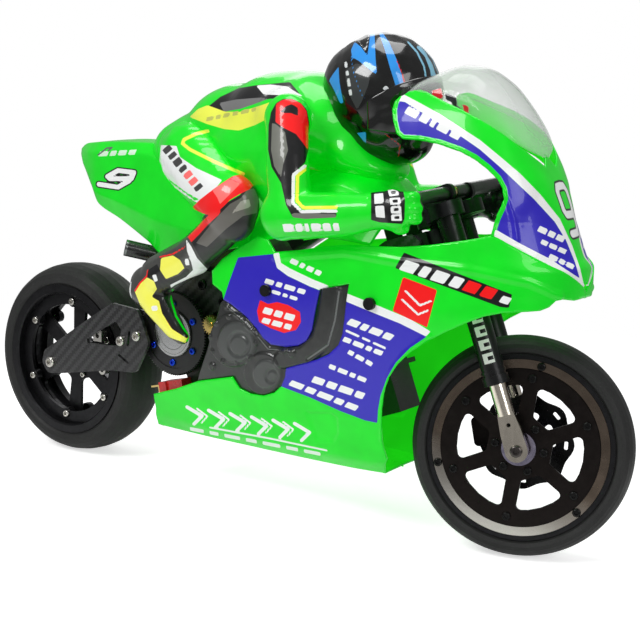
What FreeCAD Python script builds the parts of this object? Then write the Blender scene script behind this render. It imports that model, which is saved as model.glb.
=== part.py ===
import FreeCAD, Part
import math, os

os.makedirs("parts", exist_ok=True)
V = FreeCAD.Vector

# ---------------------------------------------------------------- driving dimensions (mm)
# Layout: +X forward, +Y to the rider's left, +Z up, ground at z = 0.
shift_x = 3.1                 # moves the wheelbase centre so that the whole object is centred on x = 0
wheelbase = 290.0
rear_r, rear_hw = 56.5, 16.0          # rear tyre radius and half width
front_r, front_hw = 52.6, 11.4        # front tyre radius and half width
ra_x, ra_z = -wheelbase / 2, 56.5     # rear axle
fa_x, fa_z = wheelbase / 2, 52.6      # front axle
rake = math.radians(21.5)             # steering axis leans back
fork_offset = 11.0                    # axle ahead of the steering axis, measured level
leg_y = 20.5                          # half spacing of the fork legs
steer_rest = 19.6                     # the bars stand this far to the left at rest
tube_ro, tube_ri, slider_r = 5.5, 4.16, 4.1
fork_travel = 12.0
tube_foot = 31.8                      # lower end of the fork tubes above the axle
piv_x, piv_z = -55.5, 84.0            # swingarm pivot, on the drive shaft's axis
gear_m, spur_n, pinion_n = 0.5, 92, 20
pinion_dir = math.atan2(8.0, 26.83)   # direction from spur gear to pinion
chain_pitch, sprocket_n, drive_n = 3.0, 36, 15
plate_y, plate_t = 11.0, 2.0          # frame plates: inner face and thickness
arm_y, arm_t = 23.0, 2.0              # outer swingarm plates: inner face and thickness
axle_r = 2.5
spoke_y, ring_ri = -1.5, 32.4          # rear wheel: left face of the spoked disc, inner radius of the clamping ring
shell_t = 1.0                         # thin body shells
belly_z = 31.15                       # height of the flat underside of the belly
bar_r, bar_half, bar_tilt = 3.35, 45.0, 3.0

a = V(-math.sin(rake), 0, math.cos(rake))     # up along the steering axis
f = V(math.cos(rake), 0, math.sin(rake))      # forward, square to it
O = V(fa_x - fork_offset, 0, fa_z)            # foot of the steering axis at axle height
Y = V(0, 1, 0)
nodes = {}


# ---------------------------------------------------------------- helpers
def cyl(r, p, q):
    p, q = V(*p), V(*q)
    d = q - p
    return Part.makeCylinder(r, d.Length, p, d)


def tube(ro, ri, p, q):
    p, q = V(*p), V(*q)
    d = q - p
    e = d * (1.0 / d.Length)
    return Part.makeCylinder(ro, d.Length, p, d).cut(Part.makeCylinder(ri, d.Length + 2, p - e, d))


def ycyl(r, x, z, y0, y1):
    return Part.makeCylinder(r, abs(y1 - y0), V(x, min(y0, y1), z), Y)


def yring(ro, ri, x, z, y0, y1):
    return ycyl(ro, x, z, y0, y1).cut(ycyl(ri, x, z, min(y0, y1) - 1, max(y0, y1) + 1))


def fuse(items):
    s = items[0]
    if len(items) > 1:
        s = s.multiFuse(items[1:])
    return s.removeSplitter()


def group(items):
    out = []
    for i in items:
        out += i.Solids
    return Part.makeCompound(out)


def rounded(points, r):
    """Closed wire in the XZ plane (y = 0) with rounded corners."""
    n = len(points)
    rr = r if isinstance(r, (list, tuple)) else [r] * n
    edges, ends = [], []
    for i in range(n):
        p0, p1, p2 = V(points[i - 1][0], 0, points[i - 1][1]), V(points[i][0], 0, points[i][1]), \
            V(points[(i + 1) % n][0], 0, points[(i + 1) % n][1])
        u, w = (p0 - p1), (p2 - p1)
        lu, lw = u.Length, w.Length
        u, w = u * (1 / lu), w * (1 / lw)
        ang = math.acos(max(-1, min(1, u.dot(w))))
        ri = rr[i]
        if ri <= 0 or ang > math.pi - 0.02:
            ends.append((p1, p1, None))
            continue
        d = min(ri / math.tan(ang / 2), 0.48 * lu, 0.48 * lw)
        ri = d * math.tan(ang / 2)
        b = u + w
        b = b * (1 / b.Length)
        c = p1 + b * (ri / math.sin(ang / 2))
        ends.append((p1 + u * d, p1 + w * d, c - b * ri))
    for i in range(n):
        s, e, m = ends[i]
        if m is not None:
            edges.append(Part.Arc(s, m, e).toShape())
        nxt = ends[(i + 1) % n][0]
        if (nxt - e).Length > 1e-6:
            edges.append(Part.makeLine(e, nxt))
    return Part.Wire(edges)


def plate(points, y0, y1, r=0.0):
    w = rounded(points, r)
    face = Part.Face(w)
    s = face.extrude(V(0, y1 - y0, 0))
    s.translate(V(0, y0, 0))
    return s


def revolve(profile, x, z):
    """Profile of (radius, y) points turned about the Y axis through (x, z)."""
    pts = [V(0, y, r) for r, y in profile]
    w = Part.makePolygon(pts + [pts[0]])
    s = Part.Face(w).revolve(V(0, 0, 0), Y, 360)
    s.translate(V(x, 0, z))
    return s


def polar(x, z, r, deg):
    """Point at an angle from straight up towards +X."""
    t = math.radians(deg)
    return (x + r * math.sin(t), z + r * math.cos(t))


def mirror(s):
    return s.mirror(V(0, 0, 0), Y)


def screw_y(x, z, y, out, rh, hh, rs, ls, hexr):
    """Button-head socket screw along Y. out = -1 or +1 is the side the head faces."""
    head = ycyl(rh, x, z, y, y + out * hh)
    edge = [e for e in head.Edges if abs(e.CenterOfMass.y - (y + out * hh)) < 1e-6 and e.Length > rh]
    head = head.makeFillet(hh * 0.55, edge[:1])
    hexpts = [V(x + hexr * math.cos(math.radians(60 * k)), y + out * hh * 0.35, z + hexr * math.sin(math.radians(60 * k)))
              for k in range(6)]
    pocket = Part.Face(Part.makePolygon(hexpts + [hexpts[0]])).extrude(V(0, out * hh, 0))
    shank = ycyl(rs, x, z, y, y - out * ls)
    return head.cut(pocket).fuse(shank)


def strip_loft(stations, t, side=-1):
    """Thin shell: each station is x and points (half width, z) from top edge to bottom edge."""
    wires = []
    for x, pts in stations:
        n = len(pts)
        inner = []
        for i, (h, z) in enumerate(pts):
            p, q = pts[max(i - 1, 0)], pts[min(i + 1, n - 1)]
            dh, dz = q[0] - p[0], q[1] - p[1]
            L = math.hypot(dh, dz)
            inner.append((h + dz / L * t, z - dh / L * t))
        loop = [V(x, side * h, z) for h, z in pts] + [V(x, side * h, z) for h, z in reversed(inner)]
        wires.append(Part.makePolygon(loop + [loop[0]]))
    return Part.makeLoft(wires, True, True)


def interp(table, x):
    if x <= table[0][0]:
        return table[0][1]
    for (x0, v0), (x1, v1) in zip(table, table[1:]):
        if x <= x1:
            k = (x - x0) / (x1 - x0)
            if isinstance(v0, (list, tuple)):
                return [p + (q - p) * k for p, q in zip(v0, v1)]
            return v0 + (v1 - v0) * k
    return table[-1][1]


def ellipsoid(c, rx, ry, rz, tilt=0.0):
    s = Part.makeSphere(1.0)
    m = FreeCAD.Matrix()
    m.scale(rx, ry, rz)
    s = s.transformGeometry(m)
    s.rotate(V(0, 0, 0), Y, tilt)
    s.translate(V(*c))
    return s


def limb(points):
    """Solid limb: barrels through round sections given as (x, y, z, radius), with blunt ends."""
    P = [V(*p[:3]) for p in points]
    R = [p[3] for p in points]
    t0, t1 = P[1] - P[0], P[-1] - P[-2]
    t0, t1 = t0 * (1 / t0.Length), t1 * (1 / t1.Length)
    P = [P[0] - t0 * (R[0] * 0.9)] + P + [P[-1] + t1 * (R[-1] * 0.9)]
    R = [R[0] * 0.55] + R + [R[-1] * 0.55]
    wires = []
    for i, (c, r) in enumerate(zip(P, R)):
        d = P[min(i + 1, len(P) - 1)] - P[max(i - 1, 0)]
        wires.append(Part.Wire(Part.makeCircle(r, c, d)))
    return Part.makeLoft(wires, True, True)


# ================================================================ REAR WHEEL
tyre_out = [(44.7, -14.0), (46.2, -15.4), (48.6, -16.0), (51.2, -15.2), (53.4, -12.9), (55.0, -9.6), (56.1, -5.2),
            (56.5, 0), (56.1, 5.2), (55.0, 9.6), (53.4, 12.9), (51.2, 15.2), (48.6, 16.0), (46.2, 15.4), (44.7, 14.0)]
tyre_in = [(42.1, 13.9), (42.1, 11.5), (45.5, 11.5), (48.5, 12.6), (51.3, 9.8), (52.8, 5.0), (53.2, 0),
           (52.8, -5.0), (51.3, -9.8), (48.5, -12.6), (45.5, -11.5), (42.1, -11.5), (42.1, -13.9)]
nodes["rear_tyre"] = revolve(tyre_out + tyre_in, ra_x, ra_z)

rim = revolve([(40.2, -15.0), (44.4, -15.0), (44.4, -14.1), (42.0, -13.9), (42.0, 13.9), (44.4, 14.1), (44.4, 15.0),
               (40.2, 15.0), (39.4, 14.0), (39.4, 8.0), (36.4, 8.0), (36.4, 6.0), (39.4, 6.0), (39.4, -6.0), (36.4, -6.0),
               (36.4, -8.0), (39.4, -8.0), (39.4, -14.0)], ra_x, ra_z)
lugs, lug_holes = [], []
rear_phase, n_spoke = 4.5, 6
for k in range(n_spoke):
    x, z = polar(ra_x, ra_z, 34.6, rear_phase + 60 * k)
    for y0, y1 in ((-8, -6), (6, 8)):
        lugs.append(ycyl(3.6, x, z, y0, y1))
        lug_holes.append(ycyl(1.3, x, z, y0 - 1, y1 + 1))
nodes["rear_rim"] = rim.multiFuse(lugs).cut(Part.makeCompound(lug_holes))


def spoke_disc(x, z, ro, bore, r_in, r_out, phase, half_in, half_out, y0, y1, corner):
    """Disc with six windows between straight spokes."""
    d = yring(ro, bore, x, z, y0, y1)
    cuts = []
    for k in range(6):
        mid = phase + 30 + 60 * k
        ai = 30 - math.degrees(math.asin(half_in / r_in))
        ao = 30 - math.degrees(math.asin(half_out / r_out))
        pts = [polar(x, z, r_in, mid - ai), polar(x, z, r_in, mid + ai)] + \
              [polar(x, z, r_out, mid + ao * s) for s in (1, 0.5, 0, -0.5, -1)]
        cuts.append(plate(pts, y0 - 1, y1 + 1, [corner * 0.6, corner * 0.6, corner, 0, 0, 0, corner]))
    return d.cut(Part.makeCompound(cuts))


rs, rsc = [], []
for s in (-1, 1):
    y0, y1 = sorted((s * 8.0, s * 10.0))
    d = yring(39.3, ring_ri if s < 0 else 36.4, ra_x, ra_z, y0, y1)
    d = fuse([d] + [ycyl(3.4, *polar(ra_x, ra_z, 34.6, rear_phase + 60 * k), y0, y1) for k in range(6)])
    rs.append(d.cut(Part.makeCompound([ycyl(1.3, *polar(ra_x, ra_z, 34.6, rear_phase + 60 * k), y0 - 1, y1 + 1) for k in range(6)])))
    for k in range(6):
        rsc.append(screw_y(*polar(ra_x, ra_z, 34.6, rear_phase + 60 * k), s * 10.0, s, 2.3, 1.5, 1.3, 3.6, 1.25))
spk = spoke_disc(ra_x, ra_z, 39.4, 8.0, 14.5, 35.8, rear_phase, 3.9, 5.2, spoke_y - 2.2, spoke_y, 5.5)
spk = spk.cut(Part.makeCompound([ycyl(1.1, *polar(ra_x, ra_z, 11.5, rear_phase + 30 + 60 * k), spoke_y - 4, spoke_y + 1) for k in range(6)]))
rs.append(spk)
for k in range(6):
    rsc.append(screw_y(*polar(ra_x, ra_z, 11.5, rear_phase + 30 + 60 * k), spoke_y - 2.2, -1, 1.9, 1.3, 1.1, 3.2, 1.0))
nodes["rear_spoke_plates"] = group(rs)
nodes["rear_wheel_screws"] = group(rsc)

hub = fuse([ycyl(8.0, ra_x, ra_z, -12.0, 12.0), ycyl(14.0, ra_x, ra_z, spoke_y, spoke_y + 2.5),
            ycyl(6.0, ra_x, ra_z, 12.0, 17.9)])
hub = hub.cut(ycyl(2.7, ra_x, ra_z, -20, 20)).cut(ycyl(5.5, ra_x, ra_z, -12.1, -8.0)).cut(ycyl(5.5, ra_x, ra_z, 14.0, 18.1))
hub = hub.cut(Part.makeCompound([ycyl(1.1, *polar(ra_x, ra_z, 11.5, rear_phase + 30 + 60 * k), -9, 9) for k in range(6)]))
nodes["rear_hub"] = group([hub, yring(5.5, 2.55, ra_x, ra_z, -12.0, -8.0), yring(5.5, 2.55, ra_x, ra_z, 14.0, 17.9)])


def sprocket(x, z, n, pitch, y0, y1, bore, phase=0.0):
    r = pitch / (2 * math.sin(math.pi / n))
    pts = []
    for k in range(n):
        for da, rr in ((-0.32, r - 1.1), (-0.16, r - 0.1), (0.16, r - 0.1), (0.32, r - 1.1)):
            pts.append(polar(x, z, rr, phase + (k + da) * 360.0 / n))
    s = plate(pts, y0, y1, 0)
    return s.cut(ycyl(bore, x, z, y0 - 1, y1 + 1)), r


sp, sp_r = sprocket(ra_x, ra_z, sprocket_n, chain_pitch, 18.0, 20.0, 2.7)
sp = sp.cut(Part.makeCompound([ycyl(2.6, *polar(ra_x, ra_z, 11.0, 60 * k), 17, 21) for k in range(6)]))
nodes["rear_sprocket"] = sp

# ================================================================ SWINGARM
arm_out = [(-95.7, 97.0), (-77.0, 95.4), (-73.6, 90.0), (-68.2, 77.2), (-78.0, 59.5), (-96.5, 58.3), (-139.0, 50.4), (-147.5, 49.6),
           (-152.6, 55.5), (-150.5, 62.8), (-106.0, 91.0)]
win = [(-120.5, 71.2), (-93.0, 87.0), (-88.8, 82.6), (-90.4, 74.2), (-94.0, 72.8)]
posts = [(-88.8, 76.3), (-76.7, 80.6)]
ap = plate(arm_out, -arm_y - arm_t, -arm_y, [2.5, 2.5, 2, 3.5, 5, 6, 3, 3, 4, 5, 3])
ap = ap.cut(plate(win, -30, -20, 1.6))
ap = ap.cut(plate([(-84.6, 74.0), (-83.0, 74.2), (-81.6, 82.6), (-83.2, 82.8)], -30, -20, 0.7))
ap = ap.cut(plate([(-91.2, 67.6), (-83.2, 63.4), (-82.6, 64.7), (-90.6, 68.9)], -30, -20, 0.6))
ap = ap.cut(ycyl(axle_r, ra_x, ra_z, -30, -20)).fuse(ycyl(2.8, posts[1][0], posts[1][1], -arm_y, -20.9))
ap = ap.cut(Part.makeCompound([ycyl(1.5, x, z, -30, -20) for x, z in posts]))
nodes["swingarm_plates"] = group([ap, mirror(ap)])

inner = plate([(-93.0, 76.0), (-92.2, 72.0), (-74.0, 74.5), (-58.0, 75.2), (-46.7, 80.0), (-46.7, 88.0), (-55.0, 93.0), (-74.0, 92.0), (-84.0, 94.0), (-88.0, 88.0), (-92.0, 80.0)],
              -15.8, -13.8, [3, 3, 3, 6, 6, 6, 6, 4, 3, 3, 3])
inner = inner.cut(ycyl(6.06, piv_x, piv_z, -20, -10))
bosses = [ycyl(2.4, posts[0][0], posts[0][1], -arm_y, -13.8), ycyl(2.1, -84.5, 90.5, -arm_y, -13.8)]
inner = fuse([inner] + bosses)
inner = inner.cut(ycyl(1.5, *posts[0], -24, -10)).cut(ycyl(2.0, *posts[1], -16, -10))
nodes["swingarm_inner_arms"] = group([inner, mirror(inner)])
nodes["shock_cross_pin"] = ycyl(2.0, posts[1][0], posts[1][1], -15.7, 15.7)



def adjusters(y_in):
    """Nut, block and knob on the inner face of a swingarm plate, reaching in to y_in."""
    return [ycyl(2.6, -105.6, 56.8, -arm_y, -y_in).cut(ycyl(1.2, -105.6, 56.8, -arm_y - 1, -y_in + 1)),
            Part.makeBox(6.4, arm_y - y_in, 6.4, V(-112.4, -arm_y, 73.0)).cut(ycyl(1.3, -109.2, 76.2, -arm_y - 1, -y_in + 1)),
            plate([polar(-124.6, 69.0, 2.6, 60 * k) for k in range(6)], -arm_y, -y_in, 0)]


ssc = [screw_y(x, z, -arm_y - arm_t, -1, 2.9, 1.9, 1.5, L_, 1.5) for (x, z), L_ in zip(posts, (6.0, 4.0))]
nodes["swingarm_screws"] = group(ssc + adjusters(18.6) + [mirror(s) for s in ssc + adjusters(20.9)])
axle = ycyl(axle_r, ra_x, ra_z, -25.0, 25.0)
head = screw_y(ra_x, ra_z, -25.0, -1, 3.2, 2.0, 1.6, 0.5, 1.7)
spacer_r = yring(4.2, axle_r, ra_x, ra_z, -22.9, -12.3)
spacer_l = yring(4.2, axle_r, ra_x, ra_z, 20.4, 22.9)
nodes["rear_axle"] = group([fuse([axle, head, mirror(head)])])
nodes["rear_axle_spacers"] = group([spacer_r, spacer_l])

# chain: one band round both sprockets
d_r = chain_pitch / (2 * math.sin(math.pi / drive_n))


def loop_band(off0, off1, y0, y1):
    shapes = []
    for off in (off0, off1):
        R1, R2 = sp_r + off, d_r + off
        dx, dz = piv_x - ra_x, piv_z - ra_z
        D = math.hypot(dx, dz)
        base, al = math.atan2(dz, dx), math.acos((R1 - R2) / D)
        def on(cx, cz, R, t):
            return V(cx + R * math.cos(t), 0, cz + R * math.sin(t))
        p1, p2 = on(ra_x, ra_z, R1, base + al), on(piv_x, piv_z, R2, base + al)
        p3, p4 = on(piv_x, piv_z, R2, base - al), on(ra_x, ra_z, R1, base - al)
        w = Part.Wire([Part.makeLine(p1, p2), Part.Arc(p2, on(piv_x, piv_z, R2, base), p3).toShape(),
                       Part.makeLine(p3, p4), Part.Arc(p4, on(ra_x, ra_z, R1, base + math.pi), p1).toShape()])
        s = Part.Face(w).extrude(V(0, y1 - y0, 0))
        s.translate(V(0, y0, 0))
        shapes.append(s)
    return shapes[0].cut(shapes[1])


nodes["drive_chain"] = loop_band(2.0, 0.25, 17.9, 20.1)

# ================================================================ DRIVE SHAFT, GEARS, MOTOR
pin_x = piv_x + gear_m * (spur_n + pinion_n) / 2 * math.cos(pinion_dir)
pin_z = piv_z + gear_m * (spur_n + pinion_n) / 2 * math.sin(pinion_dir)


def gear(x, z, n, m, y0, y1, bore, phase_deg):
    """Spur gear with slim straight-flanked teeth, one tooth centred on phase_deg (from +X towards +Z)."""
    r = m * n / 2
    pts = []
    for k in range(n):
        c = math.radians(phase_deg + 360.0 * k / n)
        for dw, rr in ((-0.52 * m, r - 1.2 * m), (-0.19 * m, r + 0.82 * m), (0.19 * m, r + 0.82 * m), (0.52 * m, r - 1.2 * m)):
            t = c + dw * 1.28 / rr
            pts.append((x + rr * math.cos(t), z + rr * math.sin(t)))
    return plate(pts, y0, y1, 0).cut(ycyl(bore, x, z, y0 - 1, y1 + 1))


pd = math.degrees(pinion_dir)
spur = gear(piv_x, piv_z, spur_n, gear_m, -19.5, -17.0, 3.0, pd)
spur = spur.cut(yring(19.5, 13.2, piv_x, piv_z, -19.6, -18.9))
spur = spur.cut(Part.makeCompound([ycyl(1.4, *polar(piv_x, piv_z, 16.2, 60 * k), -20, -16) for k in range(6)]))
nodes["spur_gear"] = spur
cap = yring(12.6, 3.0, piv_x, piv_z, -20.1, -19.5)
nodes["gear_cap"] = cap
gs = []
for k in range(6):
    gs.append(screw_y(*polar(piv_x, piv_z, 16.2, 60 * k), -18.9, -1, 2.0, 1.2, 1.4, 1.6, 1.0))
nodes["gear_screws"] = group(gs)
shaft = ycyl(3.0, piv_x, piv_z, -20.6, 21.2)
nodes["drive_shaft"] = shaft
ds, _ = sprocket(piv_x, piv_z, drive_n, chain_pitch, 18.0, 20.0, 3.0, 6.0)
nodes["drive_sprocket"] = ds
pinion = gear(pin_x, pin_z, pinion_n, gear_m, -20.0, -16.8, 1.5, pd + 180 + 180.0 / pinion_n)
pinion = fuse([pinion, yring(3.4, 1.5, pin_x, pin_z, -16.8, -14.0)])
nodes["pinion"] = pinion
nodes["motor_shaft"] = ycyl(1.5, pin_x, pin_z, -20.4, -4.2)
can = ycyl(18.0, pin_x, pin_z, -plate_y, 35.0)
can = can.makeFillet(1.5, [e for e in can.Edges if e.Length > 50])
can = can.cut(ycyl(1.56, pin_x, pin_z, -12, -4.0)).cut(ycyl(3.0, pin_x, pin_z, 33.0, 36))
can = can.cut(Part.makeCompound([ycyl(1.5, *polar(pin_x, pin_z, 12.5, q), -12, -8) for q in (15, 195)]))
can = fuse([can, yring(6.0, 3.0, pin_x, pin_z, -plate_y - 0.8, -plate_y)])
nodes["motor_can"] = can.cut(ycyl(1.56, pin_x, pin_z, -13, -4.0))

# ================================================================ FRAME
head_c = O + a * 93.0
fp = [(-66.5, 76.0), (-66.5, 92.0), (-58.0, 108.0), (-44.0, 119.0), (6.0, 121.0), (52.0, 128.0), (74.0, 145.0), (88.0, 149.5),
      (93.0, 147.0), (103.0, 127.5), (99.0, 122.5), (78.0, 117.0), (58.0, 111.0), (46.0, 94.0), (42.5, 57.5), (40.0, 36.0),
      (-44.0, 36.0), (-50.0, 44.0), (-50.0, 60.0)]
fr = plate(fp, -plate_y - plate_t, -plate_y, [6, 6, 5, 6, 8, 8, 6, 4, 3, 3, 3, 5, 8, 5, 3, 3, 4, 4, 6])
holes = [ycyl(5.0, piv_x, piv_z, -20, -5), ycyl(6.4, pin_x, pin_z, -20, -5)]
holes += [ycyl(1.5, *polar(pin_x, pin_z, 12.5, q), -20, -5) for q in (15, 195)]
frs = [(-40.0, 112.0), (10.0, 114.5), (46.0, 119.0), (-38.0, 42.0), (34.0, 42.0), (34.6, 72.0)]
holes += [ycyl(1.5, x, z, -20, -5) for x, z in frs]
hs = [O + a * 88.0 - f * 9.0, O + a * 98.0 - f * 9.0]
holes += [ycyl(1.25, h.x, h.z, -20, -5) for h in hs]
slots = [plate([(-32, 62), (18, 62), (24, 76), (-12, 78), (-28, 72)], -20, -5, 5),
         plate([(0, 86), (26, 86), (34, 104), (4, 107)], -20, -5, 5)]
fr = fr.cut(Part.makeCompound(holes)).cut(Part.makeCompound(slots))
fl = mirror(fr).cut(ycyl(18.4, pin_x, pin_z, 5, 20))
nodes["frame_plate_right"] = fr
nodes["frame_plate_left"] = fl

fst = [yring(3.0, 1.5, x, z, -plate_y, plate_y) for x, z in frs]
nodes["frame_standoffs"] = group(fst)
body_fix = [(86.6, 119.4), (26.4, 119.1)]
scr = []
for x, z in frs:
    s = screw_y(x, z, -plate_y - plate_t, -1, 2.8, 1.7, 1.5, 6, 1.4)
    scr += [s, mirror(s)]
for h in hs:
    s = screw_y(h.x, h.z, -plate_y - plate_t, -1, 2.2, 1.5, 1.25, 5, 1.1)
    scr += [s, mirror(s)]
scr += [screw_y(*polar(pin_x, pin_z, 12.5, q), -plate_y - plate_t, -1, 2.7, 1.6, 1.5, 4.5, 1.4) for q in (15, 195)]
nodes["frame_screws"] = group(scr)

bush = yring(6.0, 3.4, piv_x, piv_z, -16.2, -13.0)
bear = yring(5.0, 3.05, piv_x, piv_z, -13.0, -11.0)
hb = []
for t0 in (80.0, 102.0):
    hb.append(tube(5.0, 3.05, tuple(O + a * t0), tuple(O + a * (t0 + 4.0))))
nodes["frame_bearings"] = group([bush, mirror(bush), bear, mirror(bear)] + hb)


def local_box(f0, f1, t0, t1, y0, y1):
    pts = [O + f * f0 + a * t0, O + f * f1 + a * t0, O + f * f1 + a * t1, O + f * f0 + a * t1]
    return plate([(p.x, p.z) for p in pts], y0, y1, 0)


hd = local_box(-14.0, 0.0, 80.0, 106.0, -plate_y, plate_y)
hd = hd.fuse(Part.makeCylinder(8.5, 26.0, O + a * 80.0, a))
hd = hd.cut(Part.makeCylinder(4.0, 40.0, O + a * 75.0, a)).cut(Part.makeCylinder(5.0, 4.0, O + a * 80.0, a)).cut(
    Part.makeCylinder(5.0, 6.0, O + a * 102.0, a))
hd = hd.cut(Part.makeCompound([ycyl(1.25, h.x, h.z, -20, -7.5) for h in hs] + [ycyl(1.25, h.x, h.z, 7.5, 20) for h in hs]))
nodes["steering_head"] = hd

# bar bracket reaches up behind the top clamp, then forward to the bar
bar_c = O + a * 120.2 + f * 15.7
bb = [O + f * -22 + a * 99, O + f * -14.1 + a * 99, O + f * -14.1 + a * 116.2, O + f * 20.2 + a * 116.2, O + f * 20.2 + a * 124.0,
      O + f * -22 + a * 124.0]
br = plate([(p.x, p.z) for p in bb], -10.9, -8.4, [2, 0.3, 1, 3, 3, 8])


def tilted(sh):
    """the bar stands a little higher on the left"""
    sh = sh.copy()
    sh.rotate(bar_c, V(1, 0, 0), bar_tilt)
    return sh


both_br = group([br, mirror(br)])
both_br = both_br.cut(tilted(ycyl(bar_r, bar_c.x, bar_c.z, -15, 15)))
brs = O + f * -17.5 + a * 102.5
nodes["bar_bracket"] = both_br
bar = ycyl(bar_r, bar_c.x, bar_c.z, -bar_half, bar_half)
spacer_cut = yring(bar_r + 1, 2.2, bar_c.x, bar_c.z, -7.6, -3.6)
nodes["crash_bar_front"] = tilted(bar.cut(spacer_cut))
nodes["bar_spacer"] = tilted(yring(3.1, 2.2, bar_c.x, bar_c.z, -7.4, -3.8))

sub = [(-66.0, 100.0), (-57.0, 108.6), (-47.0, 118.0), (-56.0, 132.0), (-92.0, 160.0), (-112.0, 168.0), (-114.0, 163.0), (-94.0, 150.0), (-70.0, 126.0)]
sf = plate(sub, -plate_y - 0.0, -plate_y + 1.9, [3, 1, 4, 6, 6, 2, 2, 5, 5])
cross = [yring(2.6, 1.4, x, z, -9.0, 9.0) for x, z in ((-104.0, 163.2), (-51.0, 124.6))]
sf = sf.cut(ycyl(1.4, -104.0, 163.2, -20, -5)).cut(ycyl(1.4, -51.0, 124.6, -20, -5))
nodes["seat_subframe"] = group([sf, mirror(sf)] + cross)

c0, c1 = V(-60.0, -12.9, 124.0), V(-79.0, -32.0, 130.2)
ct = tube(4.5, 3.2, tuple(c0 + (c1 - c0) * 0.16), tuple(c1))
nodes["crash_tubes_rear"] = group([ct, mirror(ct)])

tray = Part.makeBox(118.0, 21.8, 1.8, V(-56.0, -10.9, 34.0))
nodes["battery_tray"] = tray
bat = Part.makeBox(84.0, 21.4, 22.0, V(-40.0, -10.7, 36.0))
bat = bat.makeFillet(2.5, [e for e in bat.Edges if e.Length > 50])
tape = None
nodes["battery_pack"] = bat

tp = Part.makeBox(16.0, 8.0, 7.6, V(-60.0, -22.5, 53.0))
tp = tp.fuse(Part.makeBox(5.0, 10.4, 7.6, V(-60.0, -23.7, 53.0)))
pins = [Part.makeBox(7.0, 4.6, 1.0, V(-67.0, -22.2, 58.2)), Part.makeBox(7.0, 1.0, 4.6, V(-67.0, -17.0, 54.4))]
for p in [tp] + pins:
    p.rotate(V(-60, -18, 56), Y, -14)
    p.translate(V(-1.0, 0, -4.2))
nodes["power_connector"] = tp
nodes["connector_pins"] = group(pins)
nodes["speed_controller"] = Part.makeBox(36.0, 17.6, 16.0, V(-52.0, -8.8, 121.5))
nodes["receiver"] = Part.makeBox(30.0, 16.0, 11.0, V(-12.0, -8.0, 100.0))

# steering servo, output axis parallel to the steering axis
link_L, arm_len = 52.0, 18.0
so = O - f * link_L           # foot of the servo axis
servo = []


def srv_box(f0, f1, t0, t1, y0, y1):
    pts = [so + f * f0 + a * t0, so + f * f1 + a * t0, so + f * f1 + a * t1, so + f * f0 + a * t1]
    return plate([(p.x, p.z) for p in pts], y0, y1, 0)


sv = srv_box(-30.0, 9.5, 26.0, 58.0, -9.8, 9.8)
sv = sv.fuse(srv_box(-36.0, -30.0, 48.0, 50.5, -9.0, 9.0)).fuse(srv_box(9.5, 14.5, 48.0, 50.5, -9.0, 9.0))
sv = sv.fuse(Part.makeCylinder(5.5, 1.6, so + a * 58.0, a)).cut(Part.makeCylinder(2.55, 6.0, so + a * 56.5, a))
nodes["steering_servo"] = sv

# thumb screws and posts for the side fairings
posts_b = []
for x, z in body_fix:
    p = ycyl(2.5, x, z, -40.5, -plate_y - plate_t)
    posts_b += [p, mirror(p)]
nodes["body_posts"] = group(posts_b)

# ================================================================ SHOCK
sh_top = V(-62.0, 0, 121.0)
sh_bot = V(posts[1][0], 0, posts[1][1])
sd = sh_bot - sh_top
sL = sd.Length
sd = sd * (1 / sL)
body = Part.makeCylinder(4.6, sL * 0.46 + 1.6, sh_top + sd * 2.4, sd)
eye = ycyl(4.0, sh_top.x, sh_top.z, -2.6, 2.6)
sb = fuse([body, eye, Part.makeCylinder(6.9, 1.6, sh_top + sd * 5.0, sd)]).cut(ycyl(1.56, sh_top.x, sh_top.z, -5, 5))
sb = sb.cut(Part.makeCylinder(1.55, sL, sh_top + sd * 9.0, sd))
nodes["shock_body"] = sb
rod = Part.makeCylinder(1.5, sL * 0.62, sh_top + sd * (sL * 0.38 - 4.0), sd)
eye2 = ycyl(4.2, sh_bot.x, sh_bot.z, -2.6, 2.6)
rodb = fuse([rod, eye2, Part.makeCylinder(6.9, 1.6, sh_bot - sd * 6.2, sd)])
rodb = rodb.cut(ycyl(2.35, sh_bot.x, sh_bot.z, -5, 5))
nodes["shock_rod"] = rodb
spr_len = (sh_bot - sd * 6.3 - (sh_top + sd * 6.7)).Length
hx = Part.makeHelix(spr_len / 5.6, spr_len - 2.0, 5.9)
prof = Part.Wire(Part.makeCircle(0.65, V(5.9, 0, 0), V(0, 1, 0)))
spring = Part.Wire(hx.Edges).makePipeShell([prof], True, True)
rot = FreeCAD.Rotation(V(0, 0, 1), sd)
spring.Placement = FreeCAD.Placement(sh_top + sd * 7.55, rot)
spring = spring if spring.ShapeType == "Solid" else Part.Solid(spring.Shells[0])
nodes["shock_spring"] = spring
nodes["shock_top_pin"] = ycyl(1.5, sh_top.x, sh_top.z, -8.9, 8.9)

# ================================================================ FORK (built straight ahead, turned to rest at the end)
def leg(s, y):
    return V(fa_x, y, fa_z) + a * s


turn = []          # nodes turned to the rest angle
lo0, lo1, up0, up1 = 74.5, 81.5, 112.3, 118.8


def clamp(s0, s1):
    items = []
    for y in (-leg_y, leg_y):
        items.append(Part.makeCylinder(8.3, s1 - s0, leg(s0, y), a))
    t0, t1 = s0 - fork_offset * math.sin(rake), s1 - fork_offset * math.sin(rake)
    off = fork_offset * math.cos(rake)
    items.append(Part.makeCylinder(8.5, s1 - s0, O + a * t0, a))
    items.append(local_box(0.0, off + 4.0, t0, t1, -leg_y, leg_y))
    c = fuse(items)
    for y in (-leg_y, leg_y):
        c = c.cut(Part.makeCylinder(tube_ro, 20.0, leg(s0 - 5, y), a))
    return c, t0, t1


uc, ut0, ut1 = clamp(up0, up1)
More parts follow.
